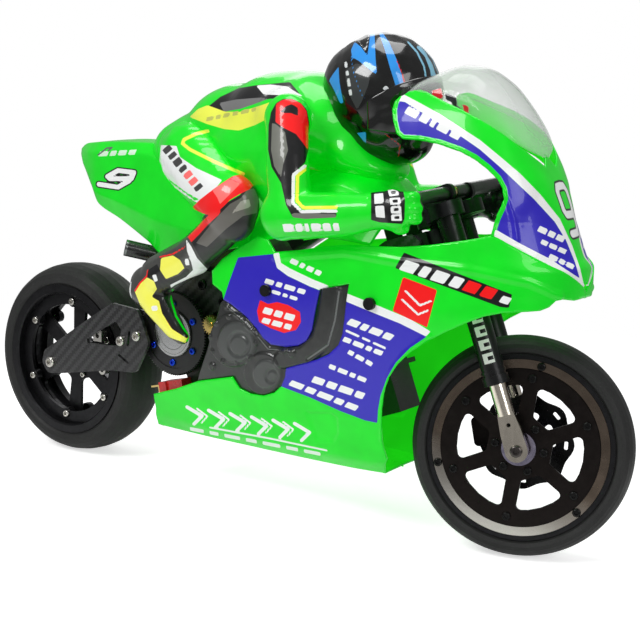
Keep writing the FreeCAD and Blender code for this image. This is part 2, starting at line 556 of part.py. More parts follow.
# the top clamp runs forward in a rounded tongue with a bolt
uc = fuse([uc, local_box(8.0, 17.0, ut0, ut1, -8.0, 8.0), Part.makeCylinder(8.0, ut1 - ut0, O + f * 17.0 + a * ut0, a)])
uc = uc.cut(Part.makeCylinder(1.6, 30.0, O + f * 19.5 + a * (ut0 - 5), a))
lc, lt0, lt1 = clamp(lo0, lo1)
uc = uc.cut(Part.makeCylinder(3.0, 30.0, O + a * (ut0 - 5), a))
lc = lc.cut(Part.makeCylinder(3.0, 30.0, O + a * (lt0 - 5), a))
# steering arm on the left of the lower clamp
sa = local_box(-4.0, 4.0, lt0 - 2.6, lt0, 0.0, arm_len).fuse(Part.makeCylinder(4.0, 2.6, O + Y * arm_len + a * (lt0 - 2.6), a))
ballpin = Part.makeCylinder(1.5, 7.0, O + Y * arm_len + a * (lt0 - 6.9), a)
lc = fuse([lc, sa.cut(Part.makeCylinder(3.0, 8.0, O + a * (lt0 - 4), a)), ballpin])
# clamp screws at the rings
cs = []
for y, s in ((-leg_y, -1), (leg_y, 1)):
    for s0, s1 in ((up0, up1), (lo0, lo1)):
        c = leg((s0 + s1) / 2, y) + f * 7.9
        cs.append((c, s))
sc_items = []
for c, s in cs:
    sc_items.append(screw_y(c.x, c.z, 0, s, 1.6, 1.6, 1.0, 5.0, 0.9))
    sc_items[-1].translate(V(0, c.y + s * 3.6, 0))
nodes["fork_clamp_top"] = uc
nodes["fork_clamp_bottom"] = lc
nodes["steering_stem"] = fuse([Part.makeCylinder(3.0, ut1 - lt0 - 0.2, O + a * lt0, a)])
tubes = []
for y in (-leg_y, leg_y):
    t = Part.makeCylinder(tube_ro, up1 - tube_foot, leg(tube_foot, y), a)
    t = t.fuse(Part.makeCylinder(6.2, 4.2, leg(tube_foot, y), a)).fuse(Part.makeCylinder(5.9, 1.4, leg(tube_foot + 5.4, y), a))
    t = t.cut(Part.makeCylinder(tube_ri, up1 - tube_foot - 3.0 + 1.0, leg(tube_foot - 1.0, y), a))
    tubes.append(t.removeSplitter())
nodes["fork_tubes"] = group(tubes)
sl = []
for y in (-leg_y, leg_y):
    sl.append(Part.makeCylinder(slider_r, 80.0 - 17.0, leg(17.0, y), a))
drops = []
tabs = []
for y, s in ((-leg_y, -1), (leg_y, 1)):
    # flat dropout: round lower end about the axle, tapering up into the slider
    P0, P1 = leg(0, 0), leg(24, 0)
    t0 = O + f * (fork_offset * math.cos(rake))
    prof = []
    for k in range(0, 13):
        an = math.pi + math.pi * k / 12
        prof.append(P0 + f * (5.3 * math.cos(an)) + a * (5.3 * math.sin(an)))
    for w_, h_ in ((4.9, 9.0), (3.8, 17.6), (2.6, 21.0), (-2.6, 21.0), (-3.8, 17.6), (-4.9, 9.0)):
        prof.append(P0 + f * w_ + a * h_)
    tab = plate([(p.x, p.z) for p in prof], y - 2.4, y + 2.4, 0)
    tab = tab.cut(ycyl(axle_r, fa_x, fa_z, y - 4, y + 4))
    hpt = P0 + a * 12.4 + f * 0.0
    tab = tab.cut(ycyl(0.95, hpt.x, hpt.z, y - 4, y + 4))
    tabs.append(tab)
sl2 = []
for slid, tab in zip(sl, tabs):
    sl2.append(slid.cut(tab))
nodes["fork_sliders"] = group(sl2)
nodes["fork_dropouts"] = group(tabs)
fax = ycyl(axle_r, fa_x, fa_z, -leg_y - 2.4, leg_y + 2.4)
fh = screw_y(fa_x, fa_z, -leg_y - 2.4, -1, 2.9, 2.0, 1.2, 0.3, 1.45)
fsp = yring(4.0, axle_r, fa_x, fa_z, -leg_y + 2.5, -14.3)
fsp2 = yring(4.0, axle_r, fa_x, fa_z, 16.3, leg_y - 2.5)
nodes["front_axle"] = group([fuse([fax, fh, mirror(fh)])])
nodes["front_axle_spacers"] = group([fsp, fsp2])

# ================================================================ FRONT WHEEL
ft_out = [(44.0, -9.4), (45.0, -10.9), (46.8, -11.4), (48.6, -11.0), (50.2, -9.4), (51.5, -6.8), (52.3, -3.6), (52.6, 0),
          (52.3, 3.6), (51.5, 6.8), (50.2, 9.4), (48.6, 11.0), (46.8, 11.4), (45.0, 10.9), (44.0, 9.4)]
ft_in = [(42.7, 9.4), (42.7, 7.6), (45.4, 7.6), (47.6, 8.2), (49.6, 5.0), (50.2, 0), (49.6, -5.0), (47.6, -8.2), (45.4, -7.6),
         (42.7, -7.6), (42.7, -9.4)]
nodes["front_tyre"] = revolve(ft_out + ft_in, fa_x, fa_z)
frim = revolve([(41.7, -10.4), (43.7, -10.4), (43.7, -9.5), (42.6, -9.4), (42.6, 9.4), (43.7, 9.5), (43.7, 10.4), (41.7, 10.4),
                (41.6, -6.7), (31.0, -6.7), (31.0, -8.7), (41.6, -8.7)], fa_x, fa_z)
front_phase = 5.5
split_deg = (10.0, 133.0, 253.0)
fholes = []
for k in range(6):
    fholes.append(ycyl(1.1, *polar(fa_x, fa_z, 33.0, front_phase + 60 * k), -12, 12))
for q in split_deg:
    fholes.append(ycyl(1.2, *polar(fa_x, fa_z, 39.4, q), -12, 12))
nodes["front_rim"] = frim.cut(Part.makeCompound(fholes))
fpl, fbl, rings = [], [], []
for s in (-1,):
    y0, y1 = sorted((s * 8.7, s * 10.7))
    d = spoke_disc(fa_x, fa_z, 37.1, 8.0, 15.6, 29.6, front_phase, 3.5, 3.4, y0, y1, 3.2)
    h = [ycyl(1.1, *polar(fa_x, fa_z, 33.0, front_phase + 60 * k), y0 - 1, y1 + 1) for k in range(6)]
    h += [ycyl(1.1, *polar(fa_x, fa_z, 11.5, front_phase + 30 + 60 * k), y0 - 1, y1 + 1) for k in range(6)]
    fpl.append(d.cut(Part.makeCompound(h)))
    ring = yring(41.5, 37.4, fa_x, fa_z, *sorted((s * 8.8, s * 10.3)))
    gaps, bl = [], []
    for q in split_deg:
        p0, p1 = polar(fa_x, fa_z, 36.5, q), polar(fa_x, fa_z, 42.5, q)
        ux, uz = polar(0, 0, 1, q + 90)
        g = plate([(p0[0] - ux * .45, p0[1] - uz * .45), (p0[0] + ux * .45, p0[1] + uz * .45),
                   (p1[0] + ux * .45, p1[1] + uz * .45), (p1[0] - ux * .45, p1[1] - uz * .45)], y0 - 2, y1 + 2, 0)
        gaps += [g, ycyl(1.25, *polar(fa_x, fa_z, 39.4, q), y0 - 2, y1 + 2)]
        fbl.append(screw_y(*polar(fa_x, fa_z, 39.4, q), s * 10.3, s, 2.0, 1.5, 1.2, 3.4, 1.1))
    rings.append(ring.cut(Part.makeCompound(gaps)))
    for k in range(6):
        fbl.append(screw_y(*polar(fa_x, fa_z, 33.0, front_phase + 60 * k), s * 10.7, s, 2.0, 1.1, 1.1, 3.8, 1.1))
        fbl.append(screw_y(*polar(fa_x, fa_z, 11.5, front_phase + 30 + 60 * k), s * 10.7, s, 2.0, 1.1, 1.1, 3.2, 1.1))
nodes["front_spoke_plates"] = group(fpl)
nodes["front_weight_rings"] = group(rings)
nodes["front_wheel_bolts"] = group(fbl)
fhub = fuse([ycyl(8.0, fa_x, fa_z, -14.0, 13.9), ycyl(14.0, fa_x, fa_z, -8.7, -6.2)])
fhub = fhub.cut(ycyl(2.7, fa_x, fa_z, -20, 20)).cut(ycyl(5.5, fa_x, fa_z, -14.1, -10.0)).cut(ycyl(5.5, fa_x, fa_z, 10.0, 14.1))
fhub = fhub.cut(Part.makeCompound([ycyl(1.1, *polar(fa_x, fa_z, 11.5, front_phase + 30 + 60 * k), -11, 11) for k in range(6)]))
nodes["front_hub"] = group([fhub, yring(5.5, 2.55, fa_x, fa_z, -14.0, -10.0), yring(5.5, 2.55, fa_x, fa_z, 10.0, 13.9)])
# wavy, slotted brake disc on the left
pts = []
for k in range(72):
    an = 5.0 * k
    pts.append(polar(fa_x, fa_z, 22.6 + 1.0 * math.cos(math.radians(8 * an)), an))
disc = plate(pts, 14.0, 15.6, 0)
cuts = [ycyl(4.2, fa_x, fa_z, 10, 20)]
for k in range(8):
    p0, p1 = polar(fa_x, fa_z, 18.8, 45 * k - 6), polar(fa_x, fa_z, 18.8, 45 * k + 6)
    q0, q1 = polar(fa_x, fa_z, 20.6, 45 * k + 6), polar(fa_x, fa_z, 20.6, 45 * k - 6)
    cuts.append(plate([p0, p1, q0, q1], 13, 17, 0.7))
for k in range(5):
    m = 72 * k
    pp = [polar(fa_x, fa_z, 9.5, m - 22), polar(fa_x, fa_z, 9.5, m + 22), polar(fa_x, fa_z, 15.0, m + 25), polar(fa_x, fa_z, 15.0, m), polar(fa_x, fa_z, 15.0, m - 25)]
    cuts.append(plate(pp, 13, 17, [1.2, 1.2, 1.5, 0, 1.5]))
nodes["brake_disc"] = disc.cut(Part.makeCompound(cuts))
# caliper on the left leg, behind and above the axle, straddling the disc
cal_c = V(fa_x, 0, fa_z) - f * 17.5 + a * 9.0
calo = [cal_c - f * 7 - a * 6, cal_c + f * 6.5 - a * 5, cal_c + f * 7.0 + a * 8, cal_c - f * 5 + a * 9]
cal = plate([(p.x, p.z) for p in calo], 12.4, 18.6, 2.5)
gap = revolve([(0.5, 13.6), (25.0, 13.6), (25.0, 16.0), (0.5, 16.0)], fa_x, fa_z)
cal = cal.cut(gap)
brk = [cal_c + f * 6 + a * 0, V(fa_x, 0, fa_z) - f * 3.0 + a * 9.5, V(fa_x, 0, fa_z) - f * 3.0 + a * 17.0, cal_c + f * 6 + a * 7.5]
cal = fuse([cal, plate([(p.x, p.z) for p in brk], 16.6, 18.0, 0)])
nodes["brake_caliper"] = cal.cut(tabs[1]).cut(sl[1])

# ================================================================ STEERING LINKAGE (parallel arms, open at the clamp's ball pin)
sarm = Part.makeCylinder(4.2, 2.4, so + a * 62.2, a).fuse(Part.makeCylinder(2.6, 2.4, so + Y * arm_len + a * 62.2, a))
pp = plate([(0, 0), (1, 0), (1, 1)], 0, 1, 0)
bx = Part.makeBox(4.4, arm_len, 2.4, V(-2.2, 0, 0))
bx.Placement = FreeCAD.Placement(so + a * 62.2, FreeCAD.Rotation(Y, -math.degrees(rake)))
sarm = fuse([sarm, bx, Part.makeCylinder(2.5, 5.4, so + a * 56.8, a), Part.makeCylinder(1.5, 4.5, so + Y * arm_len + a * 62.2, a)])
nodes["servo_arm"] = sarm
link = Part.makeBox(link_L, 2.6, 1.9, V(0, -1.3, 0))
link.Placement = FreeCAD.Placement(so + Y * arm_len + a * 64.75, FreeCAD.Rotation(Y, -math.degrees(rake)))
link = fuse([link, Part.makeCylinder(3.0, 1.9, so + Y * arm_len + a * 64.75, a), Part.makeCylinder(3.0, 1.9, O + Y * arm_len + a * 64.75, a)])
link = link.cut(Part.makeCylinder(1.56, 6, so + Y * arm_len + a * 62.8, a)).cut(Part.makeCylinder(1.75, 8, O + Y * arm_len + a * 62.0, a))
nodes["steering_link"] = link

steered = ["fork_clamp_top", "fork_clamp_bottom", "steering_stem", "fork_tubes", "fork_sliders", "fork_dropouts", "front_axle",
           "front_axle_spacers", "front_tyre", "front_rim", "front_spoke_plates", "front_weight_rings", "front_wheel_bolts",
           "front_hub", "brake_disc", "brake_caliper"]
for n in steered:
    s = nodes[n].copy()
    s.rotate(O, a, steer_rest)
    nodes[n] = s
s = nodes["servo_arm"].copy()
s.rotate(so, a, steer_rest)
nodes["servo_arm"] = s
# the link keeps its direction: it only shifts with the arm's end
e0 = Y * arm_len
e1 = FreeCAD.Rotation(a, steer_rest).multVec(e0)
nodes["steering_link"].translate(e1 - e0)

# ================================================================ BODY SHELLS
w_tab = [(-62, [20, 25, 28, 30, 31, 31, 30, 30]), (-20, [22, 30, 34, 38, 40, 40, 38.5, 38]), (20, [22, 31, 36.5, 40.5, 43, 43.5, 42, 41]),
         (60, [21, 30.5, 36, 40.5, 43.5, 44.5, 43, 42]), (90, [17, 27, 34, 39, 42.5, 44, 43, 42]), (110, [14, 25, 32, 37.5, 41, 42.5, 42, 41]),
         (130, [14, 22, 30, 35, 37.5, 39, 39.5, 38]), (150, [12, 20, 24, 27, 29, 31.5, 33, 31.5]), (162, [8, 12, 16, 18, 20, 22.5, 23.5, 21]),
         (172.5, [2, 3, 4, 5, 6, 7.5, 8, 7])]
z_lev = [31, 40, 55, 75, 100, 122, 145, 156]


def half_w(x, z):
    row = interp(w_tab, x)
    return interp(list(zip(z_lev, row)), z)


top_e = [(-62.4, 54.1), (-27, 66.4), (-17.6, 73.1), (-12.7, 99), (-4.6, 125.6), (0.3, 138.2), (26.4, 143.2), (44.3, 146.1), (61.5, 148.5),
         (85, 145.3), (102.5, 146.8), (120.4, 148.8), (146, 155.0), (162, 146.0), (172.5, 138.5)]
bot_e = [(-62.4, 31), (82, 31), (90, 35.0), (96, 44.0), (97.6, 59.9), (99.6, 74.7), (105.4, 89.8), (115.3, 102.9), (132, 113.4), (144.2, 117.0),
         (153.9, 119.2), (163, 123.5), (172.5, 129.5)]
sta = []
for x in (-61.5, -45, -27, -17.6, -12.7, -4.6, 0.3, 26.4, 44.3, 61.5, 82, 90, 96, 97.6, 99.6, 105.4, 115.3, 132, 146, 154, 163, 170, 172.5):
    zt, zb = interp(top_e, x), interp(bot_e, x)
    rows = []
    for k in range(9):
        z = zt + (zb - zt) * (k / 8.0)
        rows.append((half_w(x, z), z))
    # floor of the belly, to the centre line
    if zb < 36.0:
        rows += [(rows[-1][0] * 0.5, zb), (0.15, zb)]
    else:
        h, z = rows[-1]
        rows += [(h - 1.5, z + 0.3), (h - 3.2, z + 0.5)]
    sta.append((x, rows))
panel = strip_loft(sta, shell_t, -1)
# the underside of the belly is planed flat: the model rests on it
panel = panel.cut(Part.makeBox(400, 200, 20, V(-200, -100, belly_z - 20)))
win_pts = [(-16.4, 74.5), (-12.0, 99.4), (-3.6, 115.5), (1.5, 117.0), (12.5, 100.5), (25.5, 92.0), (38.5, 91.5), (46.0, 98.7), (49.5, 119.0),
           (66.5, 122.0), (63.5, 96.5), (54.0, 88.0), (43.0, 85.0), (36.0, 81.0), (33.5, 71.0), (24.0, 65.0), (11.0, 66.0), (1.5, 73.0)]
prism = plate(win_pts, -60, -20, 0)
prism_in = plate([(x * 0.992 + 0.2, (z - 90) * 0.992 + 90) for x, z in win_pts], -60, -20, 0)
window = panel.common(prism_in)
side_r = panel.cut(prism)
bolt_h = [ycyl(2.0, x, z, -60, -30) for x, z in body_fix]
side_r = side_r.cut(Part.makeCompound(bolt_h))
nodes["side_fairing_right"] = side_r
nodes["side_fairing_left"] = mirror(side_r)
nodes["engine_covers"] = group([window, mirror(window)])
ts = []
for x, z in body_fix:
    yy = half_w(x, z)
    t = ycyl(2.9, x, z, -yy - 2.4, -yy - 0.3).fuse(ycyl(1.8, x, z, -yy - 0.3, -40.5 + 0.0))
    ts += [t, mirror(t)]
nodes["thumb_screws"] = group(ts)

# nose cowl: band of the upper fairing; right half, then mirrored and joined
ncw = [(86.5, [(26, 212.0), (27.5, 209.5), (28.5, 207.5)]), (93.0, [(25, 216.0), (29, 206), (31, 197.5)]), (100, [(25.0, 214.3), (30.0, 205), (32, 197)]),
       (113, [(25.5, 208.8), (31.0, 203), (33, 197.0)]), (128, [(26, 202.5), (31.5, 198), (33.5, 192.0)]), (138, [(24.5, 198.5), (30.5, 192), (33.5, 184.0)]),
       (144, [(20, 194), (29, 184), (33, 171.0)]), (146, [(18, 192.0), (29.5, 178), (33, 156)]), (150.5, [(0.15, 187.5), (22, 179), (31.0, 153.5)]),
       (157, [(0.15, 176.0), (17.5, 167), (26.5, 149.5)]), (164, [(0.15, 160.0), (12.5, 155), (19.5, 145.5)]), (172.3, [(0.15, 143.0), (4.5, 141.5), (7.0, 139.5)])]
nst = []
for x, p in ncw:
    q = [p[0], ((p[0][0] + p[1][0]) / 2 + 1.0, (p[0][1] + p[1][1]) / 2 + 1.0), p[1], ((p[1][0] + p[2][0]) / 2 + 0.8, (p[1][1] + p[2][1]) / 2), p[2]]
    nst.append((x, q))
cowl = strip_loft(nst, shell_t, -1).common(Part.makeBox(120, 59.95, 100, V(70, -60, 120)))
nodes["nose_cowl"] = group([cowl, mirror(cowl)])

# windscreen: a clear bubble over the opening
scr_t = [(93.0, 23.5, 217.3, 224.5), (100.0, 23.3, 215.0, 228.0), (112.0, 23.3, 210.8, 229.0), (124.0, 22.8, 205.5, 224.0), (134.0, 21.0, 201.0, 214.5), (142.0, 18.0, 196.6, 203.5),
         (148.5, 10.0, 192.5, 194.5)]
wst = []
for x, hw, zb, zt in scr_t:
    row = []
    for k in range(9):
        t = math.pi / 2 * k / 8
        row.append((hw * math.sin(t) + 0.05 * (k == 0), zb + (zt - zb) * math.cos(t)))
    row[0] = (0.0, zt)
    wst.append((x, row))
ws = []
for x, row in wst:
    full = [(-h, z) for h, z in reversed(row[1:])] + row
    inner = []
    n = len(full)
    for i, (h, z) in enumerate(full):
        p, q = full[max(i - 1, 0)], full[min(i + 1, n - 1)]
        dh, dz = q[0] - p[0], q[1] - p[1]
        L = math.hypot(dh, dz)
        inner.append((h + dz / L * 0.8, z - dh / L * 0.8))
    loop = [V(x, -h, z) for h, z in full] + [V(x, -h, z) for h, z in reversed(inner)]
    ws.append(Part.makePolygon(loop + [loop[0]]))
nodes["windscreen"] = Part.makeLoft(ws, True, True)

# tail, seat and tank cover: one thin shell, open underneath
tail = [(-136.5, 10, 182.5, 12, 176.5), (-124.0, 19, 184.8, 22, 169.5), (-111.5, 21, 186.0, 24.5, 157.0), (-92.0, 22.5, 187.0, 26, 147.0),
        (-70.0, 24.0, 188.0, 28.0, 135.0), (-56.0, 25.0, 186.0, 29.0, 128.5), (-44.0, 24.0, 172.0, 29.5, 131.0), (-30.0, 24.0, 160.0, 30.0, 134.0), (0.0, 24.0, 157.5, 32.0, 137.5),
        (12.0, 24.0, 164.0, 33.0, 140.0), (30.0, 24.0, 176.0, 34.0, 144.0), (52.0, 23.0, 180.0, 34.5, 147.0), (72.0, 20.0, 174.0, 33.0, 148.0), (82.0, 16.0, 164.0, 30.0, 148.0)]
tw = []
for x, h0, zt, h1, zb in tail:
    full = [(-h1, zb), (-h1 * 0.99, zb + (zt - zb) * 0.4), (-(h0 + h1) / 2 - 1.0, zb + (zt - zb) * 0.75), (-h0 * 0.8, zt - (zt - zb) * 0.06), (-h0 * 0.35, zt)]
    full = full + [(-h, z) for h, z in reversed(full)]
    inner = []
    n = len(full)
    for i, (h, z) in enumerate(full):
        p, q = full[max(i - 1, 0)], full[min(i + 1, n - 1)]
        dh, dz = q[0] - p[0], q[1] - p[1]
        L = math.hypot(dh, dz)
        inner.append((h + dz / L * 1.0, z - dh / L * 1.0))
    loop = [V(x, h, z) for h, z in full] + [V(x, h, z) for h, z in reversed(inner)]
    tw.append(Part.makePolygon(loop + [loop[0]]))
tail_s = Part.makeLoft(tw, True, True)
nodes["seat_tail_cowl"] = tail_s.common(Part.makeBox(160, 100, 100, V(-150, -50, 110)))
nodes["tank_cover"] = tail_s.common(Part.makeBox(100, 100, 100, V(10.3, -50, 110)))

# ================================================================ RIDER FIGURE
torso = []
tor = [(-72.0, 178.0, 12, 10), (-60.0, 184.0, 24, 15), (-40.0, 188.5, 31, 21.0), (-18.0, 193.0, 35, 23.5), (5.0, 197.0, 39, 25.0), (24.0, 200.0, 42, 24.0), (38.0, 201.0, 34, 18.5), (46.0, 200.0, 22, 12.0)]
tw = []
for x, zc, ry, rz in tor:
    el = Part.Ellipse(V(x, 0, zc), ry, rz) if ry >= rz else Part.Ellipse(V(x, 0, zc), rz, ry)
    e = el.toShape()
    m = FreeCAD.Placement(V(x, 0, zc), FreeCAD.Rotation(V(0, 1, 0), 0))
    pts = [V(x, ry * math.cos(2 * math.pi * k / 20), zc + rz * math.sin(2 * math.pi * k / 20)) for k in range(20)]
    b = Part.BSplineCurve()
    b.interpolate(pts, PeriodicFlag=True)
    tw.append(Part.Wire([b.toShape()]))
torso = Part.makeLoft(tw, True, False)
arms, gloves, legs, boots = [], [], [], []
for sd_ in (-1, 1):
    arms.append(limb([(26.0, sd_ * 40.0, 198.0, 13.5), (54.0, sd_ * 51.0, 165.0, 11.0), (84.0, sd_ * 49.0, 162.0, 9.6)]))
    gloves.append(limb([(93.0, sd_ * 49.0, 162.5, 9.4), (103.5, sd_ * 48.0, 163.5, 7.6)]))
    legs.append(limb([(-44.0, sd_ * 30.0, 180.0, 17.5), (4.0, sd_ * 46.5, 157.0, 13.4), (-34.0, sd_ * 40.0, 132.0, 9.5), (-56.0, sd_ * 37.5, 118.0, 8.6)]))
    boots.append(limb([(-63.0, sd_ * 37.0, 110.0, 8.4), (-40.0, sd_ * 35.0, 92.0, 6.2)]))


def egg(c, rx, ry, rz, tilt):
    """Smooth egg built from level oval sections, tilted about its centre."""
    ws = []
    for k in range(11):
        zz = -0.985 + 1.97 * k / 10
        q = math.sqrt(1 - abs(zz) ** 2.3)
        pts = [V(rx * q * math.cos(2 * math.pi * j / 16), ry * q * math.sin(2 * math.pi * j / 16), rz * zz) for j in range(16)]
        b = Part.BSplineCurve()
        b.interpolate(pts, PeriodicFlag=True)
        ws.append(Part.Wire([b.toShape()]))
    s = Part.makeLoft(ws, True, False)
    s.rotate(V(0, 0, 0), Y, tilt)
    s.translate(V(*c))
    return s


helmet_o = egg((61.0, 0, 213.6), 30.5, 26.5, 31.0, 12)
visor = egg((61.0, 0, 213.6), 29.2, 25.2, 29.7, 12)
vis_zone = plate([(72.0, 196.0), (120.0, 186.0), (120.0, 224.0), (80.0, 222.0)], -40, 40, 0)
helm = helmet_o.cut(vis_zone)
neck_cut = Part.makeBox(60, 80, 30, V(20, -40, 150))
nodes["helmet_shell"] = helm
nodes["helmet_visor"] = visor.common(vis_zone)
nodes["rider_gloves"] = group(gloves)
nodes["rider_boots"] = group(boots)
nodes["rider_legs"] = group(legs)
nodes["rider_arms"] = group(arms)
nodes["rider_torso"] = torso

# ================================================================ fit neighbours inside the main frame: the later name gives way
order = ["crash_bar_front", "bar_spacer", "bar_bracket", "steering_head", "frame_screws", "frame_bearings", "body_posts", "thumb_screws",
         "crash_tubes_rear", "helmet_shell", "helmet_visor", "rider_gloves", "rider_boots", "rider_arms", "rider_legs", "rider_torso",
         "windscreen", "nose_cowl", "engine_covers", "side_fairing_right", "side_fairing_left", "tank_cover", "seat_tail_cowl",
         "frame_plate_right", "frame_plate_left", "seat_subframe", "frame_standoffs", "battery_tray", "battery_pack", "power_connector",
         "connector_pins", "motor_can", "speed_controller", "receiver", "steering_servo", "shock_top_pin"]


def touching(p, q):
    return p.BoundBox.intersect(q.BoundBox)


for i, n in enumerate(order):
    s = nodes[n]
    for m in order[:i]:
        o = nodes[m]
        if not touching(s, o):
            continue
        if s.common(o).Volume > 0.002:
            s = s.cut(o)
    keep = [k for k in s.Solids if k.Volume > 0.05 * max(q.Volume for q in s.Solids)]
    nodes[n] = keep[0] if len(keep) == 1 else Part.makeCompound(keep)

# pieces that are bolted or glued to each other share one file, as separate solids
merge = {
    "spur_gear": ["spur_gear", "gear_cap"],
    "drive_shaft": ["drive_shaft", "drive_sprocket"],
    "pinion": ["pinion", "motor_shaft"],
    "rear_axle": ["rear_axle", "rear_axle_spacers"],
    "front_axle": ["front_axle", "front_axle_spacers"],
    "fork_sliders": ["fork_sliders", "fork_dropouts"],
    "fork_clamp_bottom": ["fork_clamp_bottom", "steering_stem"],
    "swingarm_screws": ["swingarm_screws", "shock_cross_pin"],
    "frame_standoffs": ["frame_standoffs", "body_posts", "shock_top_pin"],
    "power_connector": ["power_connector", "connector_pins"],
    "frame_plates": ["frame_plate_right", "frame_plate_left", "battery_tray"],
    "crash_bar_front": ["crash_bar_front", "bar_spacer"],
    "rider_arms": ["rider_arms", "rider_gloves"],
    "rider_legs": ["rider_legs", "rider_boots"],
    "electronics": ["speed_controller", "receiver"],
}
for n, parts in merge.items():
    g = group([nodes.pop(p) for p in parts])
    nodes[n] = g

xs = [b for b in nodes.values()]
for old in os.listdir("parts"):
    if old.endswith(".step") and old[:-5] not in nodes:
        os.remove("parts/" + old)
bb = Part.makeCompound(xs).BoundBox
print("box before shift", round(bb.XMin, 2), round(bb.XMax, 2), round(bb.YMin, 2), round(bb.YMax, 2), round(bb.ZMin, 2), round(bb.ZMax, 2))
for n, s in nodes.items():
    s = s.copy()
    s.translate(V(shift_x, 0, 0))
    bad = [k for k in s.Solids if not k.isValid()]
    print(n, len(s.Solids), round(s.Volume, 1), "INVALID" if bad else "")
    s.exportStep("parts/%s.step" % n)
print(len(nodes), "nodes")
print("pinion at", pin_x, pin_z, "servo foot", so, "lt0", lt0, "ut1", ut1, "shock", sh_top, sh_bot, sL, "e1", e1)
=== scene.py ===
# It stands on z = 0 facing +X, with its left side at +Y. Sizes are in millimetres in a drawing
# frame that lies SHIFT_X behind the model frame, and become metres when a mesh is made.
import math
from collections import namedtuple
from contextlib import contextmanager
import bpy
import bmesh
import numpy as np
from mathutils import Matrix, Vector
from mathutils.bvhtree import BVHTree
from mathutils.geometry import delaunay_2d_cdt


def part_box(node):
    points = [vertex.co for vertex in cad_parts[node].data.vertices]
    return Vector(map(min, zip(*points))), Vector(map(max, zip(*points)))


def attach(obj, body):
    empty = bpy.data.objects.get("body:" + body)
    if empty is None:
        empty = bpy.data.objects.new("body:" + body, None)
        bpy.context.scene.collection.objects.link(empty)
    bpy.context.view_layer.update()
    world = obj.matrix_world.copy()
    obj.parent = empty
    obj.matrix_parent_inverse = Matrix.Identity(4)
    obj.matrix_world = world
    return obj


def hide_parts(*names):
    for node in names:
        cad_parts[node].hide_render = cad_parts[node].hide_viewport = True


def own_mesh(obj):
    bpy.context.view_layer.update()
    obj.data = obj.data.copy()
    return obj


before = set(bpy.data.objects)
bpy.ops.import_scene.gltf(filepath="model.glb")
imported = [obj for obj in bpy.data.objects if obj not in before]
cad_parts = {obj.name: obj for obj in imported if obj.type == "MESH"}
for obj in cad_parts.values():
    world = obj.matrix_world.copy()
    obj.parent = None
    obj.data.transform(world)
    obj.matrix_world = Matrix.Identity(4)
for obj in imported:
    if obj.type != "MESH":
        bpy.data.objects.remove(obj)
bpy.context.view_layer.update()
SHIFT_X = 3.1
PIN_LENGTH = 6.0     # gilt pins at the rear end of the power plug
PIN_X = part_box("power_connector")[0].x * 1000 - SHIFT_X + PIN_LENGTH

# Outlines and artwork are laid out on a square sheet that stands across the camera's line of
# sight and fills its view. Sheet origin is the top left corner, x runs right and y down, in mm.
EYE = np.array([382.253, -518.185, 207.191])
SIGHT = np.array([-0.55566807, 0.81389654, -0.1697216])
SHEET_UP = np.array([-0.11868299, 0.12439656, 0.98510905])
SHEET_RIGHT = np.cross(SIGHT, SHEET_UP)
SHEET_DISTANCE = 612.4935
SHEET_SIZE = 320.0
ART_UNIT = 0.5       # sheet mm for one unit of a painted attribute
OUTSIDE = -9.0       # attribute value well away from any artwork


# ---------------------------------------------------------------- plane geometry
def points(*values):
    """Points from a flat run of x,y pairs."""
    return np.array(values, float).reshape(-1, 2)


def to_sheet(places):
    """Sheet position of drawing-frame points; the left side uses its mirror image."""
    right = np.array(places, float)
    right[:, 1] = -np.abs(right[:, 1])
    ray = right - EYE
    depth = ray @ SIGHT
    middle = SHEET_SIZE / 2
    return np.stack([middle + SHEET_DISTANCE * (ray @ SHEET_RIGHT) / depth,
                     middle - SHEET_DISTANCE * (ray @ SHEET_UP) / depth], 1)


def square_distance(at, start, end):
    side = end - start
    offset = at - start
    t = np.clip((offset @ side) / max(side @ side, 1e-12), 0, 1)
    return ((offset - t[:, None] * side) ** 2).sum(1)


def area_depth(at, outline):
    """Signed distance to a closed outline, positive inside."""
    outline = np.array(outline, float)
    nearest = np.full(len(at), 1e18)
    inside = np.zeros(len(at), bool)
    for start, end in zip(outline, np.roll(outline, -1, axis=0)):
        nearest = np.minimum(nearest, square_distance(at, start, end))
        rise = end[1] - start[1]
        spans = (start[1] > at[:, 1]) != (end[1] > at[:, 1])
        crossing = start[0] + (at[:, 1] - start[1]) * (end[0] - start[0]) / (
            rise if abs(rise) > 1e-12 else 1e-12)
        inside ^= spans & (at[:, 0] < crossing)
    distance = np.sqrt(nearest)
    return np.where(inside, distance, -distance)


def line_depth(at, line, half_width):
    """Signed distance to a stroke along an open line, positive inside."""
    line = np.array(line, float)
    nearest = np.full(len(at), 1e18)
    for start, end in zip(line[:-1], line[1:]):
        nearest = np.minimum(nearest, square_distance(at, start, end))
    return half_width - np.sqrt(nearest)


def hill(depth, blend):
    """0 outside, 1 inside, smooth over the blend width."""
    t = np.clip(depth / blend + 0.5, 0, 1)
    return t * t * (3 - 2 * t)


def stroke_hill(at, line, half_width, blend):
    return hill(line_depth(at, line, half_width), blend)


def blocks(*rows):
    """Rows of slanted blocks standing on the line from start to end.

    Each row is (start, end, block height, block widths, gap, slant).
    """
    out = []
    for start, end, height, widths, gap, slant in rows:
        start, end = np.array(start, float), np.array(end, float)
        along = (end - start) / np.linalg.norm(end - start)
        up = np.array([along[1], -along[0]])
        lean = along * (height * slant)
        reach = 0.0
        for width in widths:
            a = start + along * reach
            b = start + along * (reach + width)
            out.append([a, b, b + up * height + lean, a + up * height + lean])
            reach += width + gap
    return out


def densify(outline, step):
    out = []
    for start, end in zip(outline, np.roll(outline, -1, axis=0)):
        count = max(1, int(round(np.linalg.norm(end - start) / step)))
        out += [start + (end - start) * j / count for j in range(count)]
    return np.array(out)


